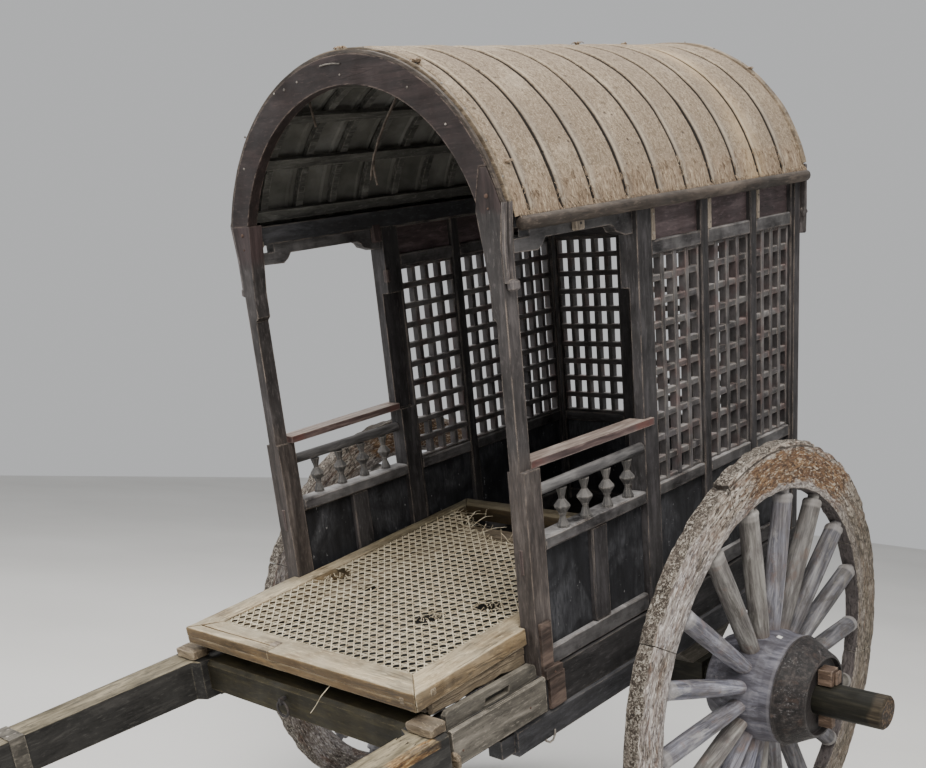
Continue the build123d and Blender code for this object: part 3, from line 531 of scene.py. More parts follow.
def cane_material():
    m = Mat("cane_strand")
    a = m.attr("mask")
    n = m.noise(m.cart((60, 60, 60)), 1.0, 4, 0.6)
    f = m.noise(m.cart((500, 500, 500)), 1.0, 2, 0.6)
    col = m.ramp(n, [(0.32, (0.31, 0.25, 0.16)), (0.5, (0.60, 0.525, 0.38)), (0.66, (0.80, 0.725, 0.565))])
    col = m.mix(a[0], col, (0.27, 0.22, 0.145))
    dirt = m.ramp(m.noise(m.cart((5, 5, 5)), 1.0, 4, 0.65), [(0.5, 0.0), (0.7, 1.0)])
    col = m.mix(m.math("MULTIPLY", dirt, 0.45), col, (0.27, 0.225, 0.16))
    col = m.mix(m.math("MULTIPLY", m.ramp(f, [(0.3, 1.0), (0.5, 0.0)]), 0.3), col, (0.22, 0.17, 0.11))
    m.link(col, m.b.inputs["Base Color"])
    m.link(m.ramp(f, [(0.3, 0.45), (0.7, 0.7)]), m.b.inputs["Roughness"])
    m.link(m.bump(f, 0.4, 0.0006), m.b.inputs["Normal"])
    return m.m


def axle_material():
    """Greasy dark arm with a bare, brown end."""
    m = Mat("axle_wood")
    p = m.sep(m.cart())
    ax = m.math("ABSOLUTE", p[0])
    streak = m.noise(m.cart((8, 90, 90)), 1.0, 6, 0.6, 0.4)
    blotch = m.noise(m.cart((14, 14, 14)), 1.0, 4, 0.6)
    col = m.ramp(streak, [(0.3, (0.003, 0.003, 0.002)), (0.52, (0.010, 0.0094, 0.0058)), (0.72, (0.030, 0.027, 0.017))])
    bare = m.band(m.math("ADD", ax, m.math("MULTIPLY", blotch, 0.03)), 0.972, 1.1, 0.010)
    col = m.mix(m.math("MULTIPLY", bare, 0.8), col, m.ramp(streak, [(0.3, (0.018, 0.013, 0.008)), (0.55, (0.055, 0.042, 0.027)), (0.75, (0.15, 0.12, 0.08))]))
    nx = m.math("ABSOLUTE", m.sep(m.own_normal())[0])
    end = m.math("MULTIPLY", m.ramp(nx, [(0.7, 0.0), (0.9, 1.0)]), m.band(ax, 0.97, 1.1, 0.004))
    rings = m.voronoi(m.cart((0, 130, 130)), 1.0)
    col = m.mix(end, col, m.ramp(rings, [(0.15, (0.17, 0.115, 0.062)), (0.4, (0.070, 0.043, 0.025)), (0.62, (0.020, 0.013, 0.008))]))
    m.link(col, m.b.inputs["Base Color"])
    m.b.inputs["Specular IOR Level"].default_value = 0.28
    m.link(m.ramp(blotch, [(0.3, 0.45), (0.7, 0.75)]), m.b.inputs["Roughness"])
    m.link(m.bump(m.math("ADD", streak, m.math("MULTIPLY", rings, end)), 0.6, 0.003, m.bevel(0.003)), m.b.inputs["Normal"])
    return m.m


def rail_material():
    """Handrail and round bar: pale worn top, pinkish sides, traces of red at the ends; the bar is grey."""
    m = Mat("rail_wood")
    p = m.sep(m.cart())
    streak = m.noise(m.cart((90, 9, 90)), 1.0, 6, 0.6, 0.4)
    blotch = m.noise(m.cart((20, 14, 20)), 1.0, 5, 0.65)
    flat = m.band(p[2], 1.290, 1.320, 0.002)
    pink = m.ramp(streak, [(0.32, (0.034, 0.020, 0.019)), (0.5, (0.088, 0.056, 0.052)), (0.68, (0.19, 0.14, 0.126))])
    grey = m.ramp(streak, [(0.32, (0.022, 0.021, 0.022)), (0.5, (0.070, 0.067, 0.068)), (0.68, (0.17, 0.165, 0.162))])
    col = m.mix(flat, grey, pink)
    red = m.math("ADD", m.band(p[1], 0.03, 0.075, 0.02), m.band(p[1], 0.44, 0.52, 0.02))
    red = m.math("MULTIPLY", m.math("MULTIPLY", red, flat), m.ramp(blotch, [(0.4, 0.0), (0.55, 1.0)]))
    col = m.mix(m.math("MULTIPLY", red, 0.45), col, (0.15, 0.045, 0.033))
    up = m.ramp(m.up(), [(0.6, 0.0), (0.9, 1.0)])
    lit = m.math("MULTIPLY", m.math("MULTIPLY", up, m.math("SUBTRACT", 1.0, flat)), m.ramp(blotch, [(0.36, 0.15), (0.6, 0.9)]))
    col = m.mix(m.math("MULTIPLY", lit, 0.7), col, (0.255, 0.245, 0.24))
    bare = m.math("MULTIPLY", m.math("MULTIPLY", up, flat), m.ramp(blotch, [(0.3, 0.55), (0.6, 1.0)]))
    col = m.mix(m.math("MULTIPLY", bare, 0.85), col, m.ramp(streak, [(0.32, (0.155, 0.118, 0.10)), (0.5, (0.295, 0.24, 0.205)), (0.68, (0.46, 0.40, 0.345))]))
    e = m.math("MULTIPLY", m.edge(0.004), m.ramp(blotch, [(0.35, 0.3), (0.6, 1.0)]))
    col = m.mix(m.math("MULTIPLY", e, 0.6), col, (0.46, 0.40, 0.35))
    m.link(col, m.b.inputs["Base Color"])
    m.link(m.ramp(blotch, [(0.3, 0.5), (0.7, 0.75)]), m.b.inputs["Roughness"])
    m.link(m.bump(streak, 0.5, 0.0015, m.bevel(0.002)), m.b.inputs["Normal"])
    return m.m


def post_tint(m, col, scuff, speck):
    """The head of the left front post is stained like the arch; hand-worn brown lower down."""
    p = m.sep(m.cart())
    head = m.math("MULTIPLY", m.math("LESS_THAN", p[0], -0.3), m.band(p[2], 1.78, 2.5, 0.03))
    head = m.math("MULTIPLY", head, m.math("LESS_THAN", p[1], 0.06))
    col = m.mix(m.math("MULTIPLY", head, 0.8), col, m.ramp(scuff, [(0.4, (0.020, 0.011, 0.011)), (0.6, (0.055, 0.034, 0.034))]))
    scarf = m.math("MULTIPLY", m.math("GREATER_THAN", p[0], 0.3), m.band(m.math("ADD", p[2], m.math("MULTIPLY", scuff, 0.05)), 1.872, 2.5, 0.010))
    scarf = m.math("MULTIPLY", scarf, m.math("LESS_THAN", p[1], 0.06))
    col = m.mix(m.math("MULTIPLY", scarf, 0.85), col, m.ramp(scuff, [(0.4, (0.014, 0.0085, 0.008)), (0.6, (0.046, 0.030, 0.0285))]))
    low = m.math("MULTIPLY", m.band(p[2], 0.7, 1.30, 0.05), m.ramp(speck, [(0.38, 0.35), (0.6, 0.75)]))
    low = m.math("MULTIPLY", low, m.math("LESS_THAN", p[1], 0.06))
    return m.mix(m.math("MULTIPLY", low, 0.6), col, m.ramp(scuff, [(0.38, (0.038, 0.027, 0.022)), (0.52, (0.095, 0.074, 0.062)), (0.64, (0.20, 0.165, 0.14))]))


def painted_cabin_shade(m, col, scuff, speck):
    """Painted shade: faces turned to the front are darkened, and boards deep inside the cabin are darker still."""
    p = m.sep(m.cart())
    front = m.ramp(m.math("MULTIPLY", m.sep(m.own_normal())[1], -1.0), [(0.5, 0.0), (0.8, 1.0)])
    col = m.mix(front, col, m.mix(1.0, col, (0.55, 0.475, 0.345), "MULTIPLY"))
    back = m.math("MULTIPLY", m.math("GREATER_THAN", p[1], 0.0), 1.0)
    deep_cabin_shade = m.math("MULTIPLY", m.band(p[1], 0.35, 3.0, 0.30), back)
    return m.mix(m.math("MULTIPLY", deep_cabin_shade, 0.85), col, m.mix(1.0, col, (0.30, 0.31, 0.29), "MULTIPLY"))


def panel_clouds(m, col, scuff, speck):
    """Blackened boards with soft clouds of dust and a few pale specks."""
    cloud = m.noise(m.cart((7, 7, 7)), 1.0, 5, 0.6, 0.8)
    col = m.mix(m.math("MULTIPLY", m.ramp(cloud, [(0.46, 0.0), (0.66, 1.0)]), 0.75), col,
                m.ramp(speck, [(0.35, (0.030, 0.031, 0.036)), (0.62, (0.085, 0.086, 0.094))]))
    run = m.noise(m.cart((40, 40, 9)), 1.0, 4, 0.6, 0.4)
    spots = m.math("MULTIPLY", m.ramp(m.noise(m.cart((120, 120, 70)), 1.0, 3, 0.6), [(0.66, 0.0), (0.70, 1.0)]),
                   m.ramp(run, [(0.52, 0.0), (0.60, 1.0)]))
    return m.mix(m.math("MULTIPLY", spots, 0.75), col, (0.33, 0.325, 0.33))


def grid_flank_shade_and_tint(m, col, scuff, speck):
    """Painted shade darkens the flanks of the bars; each stretch of bar is a little different."""
    n = m.sep(m.own_normal())
    flat = m.math("MAXIMUM", m.math("ABSOLUTE", n[0]), m.math("MAXIMUM", n[2], 0.0))
    flank_shade = m.ramp(flat, [(0.45, 1.0), (0.75, 0.0)])
    col = m.mix(m.math("MULTIPLY", flank_shade, 0.9), col, m.mix(1.0, col, (0.50, 0.47, 0.48), "MULTIPLY"))
    tint = m.noise(m.cart((14, 14, 16)), 1.0, 3, 0.6)
    col = m.mix(m.math("MULTIPLY", m.ramp(tint, [(0.38, 1.0), (0.50, 0.0)]), 0.55), col, m.mix(1.0, col, (0.85, 0.52, 0.50), "MULTIPLY"))
    return m.mix(m.math("MULTIPLY", m.ramp(tint, [(0.56, 0.0), (0.68, 1.0)]), 0.5), col, m.mix(1.0, col, (1.35, 1.38, 1.5), "MULTIPLY"))


def shaft_top(m, col, scuff, speck):
    """The upper face is bleached and rubbed bare ahead of the seat; behind the posts the beam is near black."""
    p = m.sep(m.cart())
    top = m.math("MULTIPLY", m.ramp(m.up(), [(0.6, 0.0), (0.85, 1.0)]), m.math("LESS_THAN", p[1], -0.39))
    bare = m.ramp(scuff, [(0.36, (0.10, 0.082, 0.050)), (0.48, (0.22, 0.185, 0.120)), (0.62, (0.42, 0.355, 0.24))])
    right = m.math("GREATER_THAN", p[0], 0.0)
    keep = m.math("ADD", 0.70, m.math("MULTIPLY", right, 0.25))
    col = m.mix(m.math("MULTIPLY", m.math("MULTIPLY", top, keep), m.ramp(speck, [(0.36, 0.45), (0.5, 1.0)])), col, bare)
    torn = m.math("MULTIPLY", m.math("MULTIPLY", right, m.band(p[1], -0.530, -0.395, 0.012)), m.band(p[0], 0.462, 0.60, 0.003))
    torn = m.math("MULTIPLY", m.math("MULTIPLY", torn, m.band(p[2], 0.794, 0.90, 0.003)), m.ramp(scuff, [(0.42, 0.2), (0.52, 1.0)]))
    col = m.mix(m.math("MULTIPLY", torn, 0.8), col, m.ramp(speck, [(0.38, (0.085, 0.040, 0.014)), (0.52, (0.26, 0.14, 0.050)), (0.64, (0.52, 0.36, 0.17))]))
    back = m.band(p[1], 0.0, 9.0, 0.02)
    return m.mix(m.math("MULTIPLY", back, 0.85), col, m.mix(1.0, col, (0.98, 0.95, 1.06), "MULTIPLY"))


def cheek_tint(m, col, scuff, speck):
    """The upright battens beside the front posts are red-brown and rubbed."""
    p = m.sep(m.cart())
    red = m.ramp(scuff, [(0.38, (0.017, 0.0105, 0.009)), (0.50, (0.047, 0.029, 0.0235)), (0.62, (0.125, 0.085, 0.068))])
    return m.mix(m.math("MULTIPLY", m.math("GREATER_THAN", p[1], 0.0045), 0.88), col, red)


def build_materials():
    M = {}
    grey_dust = (0.235, 0.225, 0.225)
    for ax in "xyz":
        M["dark_" + ax] = wood("dark_" + ax, (0.006, 0.006, 0.0075), (0.018, 0.0182, 0.0215), (0.050, 0.0505, 0.057),
                               ax, wear=(0.20, 0.165, 0.135), wear_amt=0.9, dust=grey_dust, dust_amt=0.30, seed=ord(ax))
        M["post_" + ax] = wood("post_" + ax, (0.0065, 0.0055, 0.0056), (0.021, 0.0182, 0.019), (0.056, 0.051, 0.054),
                               ax, wear=(0.29, 0.235, 0.195), wear_amt=0.95, dust=grey_dust, dust_amt=0.35, seed=ord(ax) + 3)
        # lattice bars: flanks darkened as painted shade, plus random tints
        M["grid_" + ax] = wood("grid_" + ax, (0.010, 0.0086, 0.0088), (0.031, 0.027, 0.028), (0.078, 0.070, 0.072),
                               ax, wear=(0.34, 0.30, 0.265), wear_amt=0.85, dust=(0.44, 0.42, 0.405), dust_amt=0.95,
                               seed=ord(ax) + 23, extra=grid_flank_shade_and_tint)
        M["plum_" + ax] = wood("plum_" + ax, (0.014, 0.008, 0.008), (0.034, 0.021, 0.021), (0.070, 0.047, 0.047),
                               ax, wear=(0.24, 0.185, 0.155), wear_amt=0.8, dust=(0.17, 0.145, 0.14), dust_amt=0.25,
                               contrast=0.75, seed=ord(ax) + 5)
        M["beam_" + ax] = wood("beam_" + ax, (0.018, 0.015, 0.012), (0.060, 0.053, 0.043), (0.155, 0.14, 0.115),
                               ax, wear=(0.34, 0.30, 0.24), wear_amt=0.7, dust=(0.33, 0.30, 0.245), dust_amt=0.6,
                               seed=ord(ax) + 7)
        M["tan_" + ax] = wood("tan_" + ax, (0.070, 0.048, 0.030), (0.165, 0.122, 0.080), (0.31, 0.245, 0.17),
                              ax, wear=(0.42, 0.33, 0.22), wear_amt=0.7, dust=(0.32, 0.27, 0.21), dust_amt=0.3,
                              seed=ord(ax) + 31)
        # seat rails: side faces, front faces and boards deep in the cabin are darkened as painted shade
        M["seat_" + ax] = wood("seat_" + ax, (0.120, 0.083, 0.047), (0.375, 0.289, 0.178), (0.60, 0.50, 0.335),
                               ax, wear=(0.74, 0.65, 0.49), wear_amt=0.85, dust=(0.58, 0.515, 0.385), dust_amt=0.6,
                               rough=(0.5, 0.75), blotch=0.35, bump=0.8, cracks=0.9, seed=ord(ax) + 9,
                               painted_side_shade=((0.47, 0.41, 0.335), 1.0), extra=painted_cabin_shade)
        M["rough_" + ax] = wood("rough_" + ax, (0.045, 0.030, 0.018), (0.145, 0.106, 0.066), (0.33, 0.265, 0.175),
                                ax, wear=(0.46, 0.37, 0.275), wear_amt=0.85, dust=(0.40, 0.34, 0.265), dust_amt=0.45,
                                bump=1.2, seed=ord(ax) + 13)
        M["pole_" + ax] = wood("pole_" + ax, (0.010, 0.0068, 0.005), (0.033, 0.0245, 0.0195), (0.094, 0.074, 0.059),
                               ax, wear=(0.26, 0.205, 0.16), wear_amt=0.5, dust=(0.155, 0.128, 0.104), dust_amt=0.45,
                               seed=ord(ax) + 11)
        M["pale_" + ax] = wood("pale_" + ax, (0.10, 0.075, 0.052), (0.24, 0.195, 0.150), (0.42, 0.36, 0.295),
                               ax, wear=(0.52, 0.45, 0.36), wear_amt=0.6, seed=ord(ax) + 17)
    M["post_y"] = wood("post_y", (0.0065, 0.0055, 0.0056), (0.0225, 0.0195, 0.0203), (0.062, 0.057, 0.060), "y",
                       wear=(0.30, 0.25, 0.215), wear_amt=0.95, dust=(0.40, 0.388, 0.385), dust_amt=1.0, seed=124)
    M["post_front"] = wood("post_front", (0.011, 0.009, 0.0085), (0.036, 0.030, 0.0295), (0.092, 0.081, 0.080), "z",
                           wear=(0.32, 0.26, 0.215), wear_amt=1.0, dust=grey_dust, dust_amt=0.35, seed=77, extra=post_tint)
    M["front_beam"] = wood("front_beam", (0.004, 0.0033, 0.0013), (0.014, 0.0112, 0.0042), (0.038, 0.0305, 0.0115), "x",
                           wear=(0.20, 0.16, 0.088), wear_amt=0.7, dust=(0.085, 0.069, 0.029), dust_amt=0.45, seed=83)
    M["shaft"] = wood("shaft", (0.005, 0.0046, 0.0042), (0.0165, 0.0155, 0.0145), (0.050, 0.047, 0.043), "y",
                      wear=(0.20, 0.175, 0.13), wear_amt=0.6, dust=(0.085, 0.082, 0.076), dust_amt=0.7, grain=0.6, seed=87,
                      extra=shaft_top)
    # floor boards under the seat: very dark, darkened further as painted shade for the shadowed space under the cane
    M["floor"] = wood("floor", (0.004, 0.0035, 0.003), (0.010, 0.009, 0.007), (0.022, 0.019, 0.015), "y",
                      contrast=0.6, seed=91)
    M["panel"] = wood("panel", (0.0045, 0.0045, 0.0055), (0.0115, 0.0117, 0.014), (0.027, 0.0275, 0.032), "z",
                      contrast=0.45, blotch=0.4, cracks=0.3, seed=113, extra=panel_clouds)
    M["leg"] = wood("leg", (0.016, 0.013, 0.013), (0.052, 0.044, 0.044), (0.135, 0.12, 0.12), "z",
                    wear=(0.34, 0.29, 0.25), wear_amt=0.8, dust=(0.25, 0.22, 0.20), dust_amt=0.3, seed=107)
    M["baluster"] = wood("baluster", (0.010, 0.0092, 0.0092), (0.034, 0.0315, 0.031), (0.088, 0.083, 0.080), "z",
                         wear=(0.27, 0.245, 0.22), wear_amt=0.9, dust=(0.27, 0.255, 0.24), dust_amt=0.6, bevel=0.0012, seed=101)
    M["rib"] = wood("rib", (0.030, 0.029, 0.026), (0.068, 0.067, 0.060), (0.135, 0.133, 0.121), "y",
                    wear=(0.30, 0.285, 0.25), wear_amt=0.6, dust=(0.16, 0.155, 0.145), dust_amt=0.3, seed=103)
    M["cheek"] = wood("cheek", (0.025, 0.0215, 0.017), (0.084, 0.075, 0.062), (0.21, 0.19, 0.16), "y",
                      wear=(0.50, 0.44, 0.36), wear_amt=0.9, dust=(0.40, 0.365, 0.305), dust_amt=0.6, seed=95, extra=cheek_tint)
    M["arch"] = wood("arch", (0.0085, 0.0046, 0.0042), (0.0205, 0.0125, 0.0118), (0.047, 0.031, 0.0295), "x",
                     wear=(0.26, 0.20, 0.165), wear_amt=0.85, dust=(0.13, 0.11, 0.105), dust_amt=0.2, contrast=0.8, seed=97)
    M["frieze"] = wood("frieze", (0.022, 0.012, 0.013), (0.060, 0.038, 0.040), (0.13, 0.095, 0.097), "y",
                       wear=(0.24, 0.185, 0.155), wear_amt=0.8, dust=(0.20, 0.175, 0.175), dust_amt=0.35, contrast=0.8, seed=99)
    M["redbrown"] = wood("redbrown", (0.020, 0.012, 0.010), (0.054, 0.033, 0.0265), (0.13, 0.090, 0.072), "z",
                         wear=(0.34, 0.25, 0.19), wear_amt=0.8, dust=(0.25, 0.20, 0.17), dust_amt=0.35, seed=41)
    for key in ("arch", "post_x", "post_y", "post_z", "post_front", "front_beam", "shaft", "pole_y", "pole_x", "cheek", "panel"):
        shader = next(n for n in M[key].node_tree.nodes if n.type == "BSDF_PRINCIPLED")
        shader.inputs["Specular IOR Level"].default_value = 0.36
    M["rim"] = rim_material()
    M["spoke"] = spoke_material()
    M["hub_r"] = hub_material("hub_right", 0.7325)
    M["hub_l"] = hub_material("hub_left", 0.842)
    M["cane"] = cane_material()
    M["mat"] = mat_material()
    M["lining"] = lining_material()
    M["axle"] = axle_material()
    M["rail"] = rail_material()
    M["rust"] = rust("rust", (0.030, 0.019, 0.015), (0.082, 0.047, 0.033), (0.17, 0.115, 0.085))
    M["pin"] = wood("pin", (0.035, 0.020, 0.013), (0.105, 0.065, 0.043), (0.25, 0.175, 0.125), "x",
                    wear=(0.42, 0.33, 0.26), wear_amt=0.9, seed=19)
    M["iron"] = rust("iron", (0.012, 0.011, 0.012), (0.038, 0.034, 0.034), (0.11, 0.085, 0.07))
    M["nail"] = rust("nail", (0.05, 0.045, 0.04), (0.20, 0.18, 0.16), (0.50, 0.46, 0.41))
    return M


NODE_MATS = {
    "axle": "axle", "linchpins": "pin", "axle_blocks": "beam_y", "balusters": "baluster", "cheeks": "cheek",
    "cleats": "beam_y", "corner_blocks": "rough_x", "cross_beams": "front_beam", "draw_ring": "iron",
    "eave_plates": "dark_y", "eave_poles": "pole_y", "floor_boards": "floor", "frieze_panels": "frieze",
    "front_arch": "arch", "front_beam": "front_beam", "front_posts": "post_front", "handrails": "rail",
    "lattice_left": "dark_z", "lattice_rear": "dark_z", "lattice_right": "grid_z", "lintels": "post_y",
    "lower_panels": "panel", "mid_posts": "post_z", "rear_arch": "arch", "rear_frame": "post_z",
    "rear_posts": "post_z", "rear_tympanum": "plum_z", "roof_battens": "rib", "roof_cover": "mat",
    "roof_hoops": "rib", "seat_bearers": "rough_y", "seat_cane": "cane", "seat_frame": "seat_y",
    "shaft_left": "shaft", "shaft_right": "shaft", "side_frame_left": "post_z", "side_frame_right": "post_z",
    "under_sills": "dark_y", "wheel_left_hub": "hub_l", "wheel_left_rim": "rim", "wheel_left_spokes": "spoke",
    "wheel_right_hub": "hub_r", "wheel_right_rim": "rim", "wheel_right_spokes": "spoke",
}


def dress_cad(M):
    for name, obj in NODES.items():
        obj.data.materials.clear()
        obj.data.materials.append(M[NODE_MATS[name]])


# ------------------------------------------------------------------- stage
def build_stage():
    me = bpy.data.meshes.new("floor")
    s = 14.0
    me.from_pydata([(-s, -s, 0), (s, -s, 0), (s, s, 0), (-s, s, 0)], [], [(0, 1, 2, 3)])
    floor = bpy.data.objects.new("floor", me)
    bpy.context.scene.collection.objects.link(floor)
    m = Mat("floor_paint")
    n = m.noise(m.coords(rot=0.0, scale=(0.6, 0.6, 0.6)), 1.0, 3, 0.5)
    m.link(m.ramp(n, [(0.3, (0.60, 0.59, 0.57)), (0.7, (0.66, 0.65, 0.63))]), m.b.inputs["Base Color"])
    m.b.inputs["Roughness"].default_value = 0.9
    me.materials.append(m.m)
    floor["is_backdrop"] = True
    world = bpy.data.worlds.new("world")
    bpy.context.scene.world = world
    world.use_nodes = True
    bg = world.node_tree.nodes["Background"]
    bg.inputs["Color"].default_value = (0.86, 0.87, 0.88, 1)
    bg.inputs["Strength"].default_value = 0.62

    def area(name, loc, target, size, power, color):
        d = bpy.data.lights.new(name, "AREA")
        d.shape = "RECTANGLE"
        d.size, d.size_y = size
        d.energy = power
        d.color = color
        o = bpy.data.objects.new(name, d)
        bpy.context.scene.collection.objects.link(o)
        o.location = loc
        o.rotation_mode = "QUATERNION"
        o.rotation_quaternion = (Vector(target) - Vector(loc)).to_track_quat("-Z", "Y")
    area("key", (3.5, -3.0, 6.0), (0, 1.0, 1.0), (4.0, 4.0), 560, (1.0, 0.965, 0.91))
    area("top", (-1.0, 1.5, 7.0), (0, 1.2, 1.0), (6.0, 6.0), 430, (1.0, 0.99, 0.97))
    area("fill", (-5.0, -4.0, 3.0), (0, 0.8, 1.0), (4.0, 3.0), 150, (0.97, 0.98, 1.0))


# ---------------------------------------------------------------- mesh maker
class Shape:
    """Collects vertices and faces in the carriage's level frame, in metres."""

    def __init__(self, name):
        self.name, self.v, self.f, self.mi, self.mask = name, [], [], [], []

    def add(self, verts, faces, mat=0, mask=None):
        base = len(self.v)
        self.v += [tuple(p) for p in verts]
        self.f += [tuple(base + i for i in f) for f in faces]
        self.mi += [mat] * len(faces)
        self.mask += list(mask) if mask is not None else [(0.0, 0.0, 0.0)] * len(verts)

    def build(self, mats, body="body", replaces=(), smooth=None):
        me = bpy.data.meshes.new(self.name)
        me.from_pydata([tuple(PLACE @ Vector(p)) for p in self.v], [], self.f)
        me.validate()
        for m in mats:
            me.materials.append(m)
        for poly, k in zip(me.polygons, self.mi):
            poly.material_index = k
        layer = me.color_attributes.new("mask", "FLOAT_COLOR", "POINT")
        layer.data.foreach_set("color", [c for t in self.mask for c in (*t, 1.0)])
        bm = bmesh.new()
        bm.from_mesh(me)
        bmesh.ops.recalc_face_normals(bm, faces=bm.faces)
        bm.to_mesh(me)
        bm.free()
        if smooth is not None:
            me.polygons.foreach_set("use_smooth", [True] * len(me.polygons))
            me.set_sharp_from_angle(angle=math.radians(smooth))
        obj = bpy.data.objects.new(self.name, me)
        bpy.context.scene.collection.objects.link(obj)
        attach(obj, body)
        if replaces:
            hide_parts(*replaces)
        return obj


def wob(x, y, z, f=1.0, k=0.0):
    return noise.noise(Vector((x * f + k, y * f - k, z * f + 2 * k)))


ORDER = {"x": (0, 1, 2), "y": (1, 0, 2), "z": (2, 0, 1)}


def timber(s, axis, lo, hi, a, b, ch=0.003, step=0.05, rough=0.0006, mat=0, bend=None, mask=None):
    """A sawn length along axis from lo to hi; a and b are its extents in the other two axes.
    Its corners are worn back unevenly by about ch. bend(t) moves a section by (da, db)."""
    i, j, k = ORDER[axis]
    n = max(1, int(round((hi - lo) / step)))
    seed = rng.uniform(0, 90)
    rings = []
    stops = [(lo, ch)] + [(lo + (hi - lo) * q / n, 0.0) for q in range(n + 1)] + [(hi, ch)]
    stops[1] = (lo + min(ch, (hi - lo) * 0.2), 0.0)
    stops[-2] = (hi - min(ch, (hi - lo) * 0.2), 0.0)
    for t, inset in stops:
        a0, a1, b0, b1 = a[0] + inset, a[1] - inset, b[0] + inset, b[1] - inset
        c = []
        for q in range(4):
            w = 0.7 + 0.9 * abs(wob(t, q * 3.1, seed, 9.0)) + 1.2 * max(0.0, wob(t, q * 7.7, seed, 31.0) - 0.25)
            c.append(min(ch * w, 0.3 * min(a1 - a0, b1 - b0)))
        pts = [(a0 + c[0], b0), (a1 - c[1], b0), (a1, b0 + c[1]), (a1, b1 - c[2]),
               (a1 - c[2], b1), (a0 + c[3], b1), (a0, b1 - c[3]), (a0, b0 + c[0])]
        da, db = bend((t - lo) / (hi - lo)) if bend else (0.0, 0.0)
        ring = []
        for q, (pa, pb) in enumerate(pts):
            r1 = rough * wob(t, q * 0.9, seed, 14.0)
            r2 = rough * wob(t, q * 0.9 + 50, seed, 14.0)
            p = [0.0, 0.0, 0.0]
            p[i], p[j], p[k] = t, pa + da + r1, pb + db + r2
            ring.append(tuple(p))
        rings.append(ring)
    verts = [p for r in rings for p in r]
    faces = []
    for q in range(len(rings) - 1):
        for e in range(8):
            faces.append((q * 8 + e, q * 8 + (e + 1) % 8, (q + 1) * 8 + (e + 1) % 8, (q + 1) * 8 + e))
    faces.append(tuple(range(8)))
    faces.append(tuple(range(len(verts) - 8, len(verts))))
    s.add(verts, faces, mat, [mask] * len(verts) if mask else None)


def tube(s, path, radius, sides=8, mat=0, mask=None, flat=1.0):
    """A round rod along a path; radius is a number or a function of 0..1; flat squashes its section."""
    pts = [Vector(p) for p in path]
    verts, faces = [], []
    ref = None
    for q, p in enumerate(pts):
        d = (pts[min(q + 1, len(pts) - 1)] - pts[max(q - 1, 0)]).normalized()
        if ref is None:
            ref = d.cross(Vector((0, 0, 1)) if abs(d.z) < 0.9 else Vector((1, 0, 0))).normalized()
        ref = (ref - d * ref.dot(d)).normalized()
        other = d.cross(ref)
        r = radius(q / (len(pts) - 1)) if callable(radius) else radius
        for e in range(sides):
            t = 2 * math.pi * e / sides
            verts.append(p + ref * (r * math.cos(t)) + other * (r * flat * math.sin(t)))
    for q in range(len(pts) - 1):
        for e in range(sides):
            faces.append((q * sides + e, q * sides + (e + 1) % sides, (q + 1) * sides + (e + 1) % sides,
                          (q + 1) * sides + e))
    faces.append(tuple(range(sides)))
    faces.append(tuple(range(len(verts) - sides, len(verts))))
    s.add(verts, faces, mat, [mask] * len(verts) if mask else None)


def nail(s, centre, normal, r=0.004, mat=0, proud=0.0015):
    """A low domed nail head."""
    n = Vector(normal).normalized()
    a = n.cross(Vector((0, 0, 1)) if abs(n.z) < 0.9 else Vector((1, 0, 0))).normalized()
    b = n.cross(a)
    c = Vector(centre)
    verts = [c - n * 0.001 + (a * math.cos(t) + b * math.sin(t)) * r for t in [k * math.pi / 4 for k in range(8)]]
    verts += [c + n * proud * 0.7 + (a * math.cos(t) + b * math.sin(t)) * r * 0.75 for t in [k * math.pi / 4 for k in range(8)]]
    verts += [c + n * proud, c - n * 0.001]
    faces = [(k, (k + 1) % 8, 8 + (k + 1) % 8, 8 + k) for k in range(8)]
    faces += [(8 + k, 8 + (k + 1) % 8, 16) for k in range(8)] + [((k + 1) % 8, k, 17) for k in range(8)]
    s.add(verts, faces, mat)


def rock(s, centre, size, seed, mat=0, mask=None, sub=2, rough=0.35):
    """A small irregular lump, such as a knot of fibre or the stub of a broken piece."""
    bm = bmesh.new()
    bmesh.ops.create_icosphere(bm, subdivisions=sub, radius=1.0)
    c = Vector(centre)
    verts = []
    for v in bm.verts:
        w = 1.0 + rough * noise.noise(v.co * 1.7 + Vector((seed, 0, 0)))
        verts.append(c + Vector((v.co.x * size[0], v.co.y * size[1], v.co.z * size[2])) * w)
    faces = [tuple(v.index for v in f.verts) for f in bm.faces]
    bm.free()
    s.add(verts, faces, mat, [mask] * len(verts) if mask else None)


# ------------------------------------------------------------------- wheels
SPOKE_AT = [math.radians(20.0 * k - 0.5) for k in range(18)]


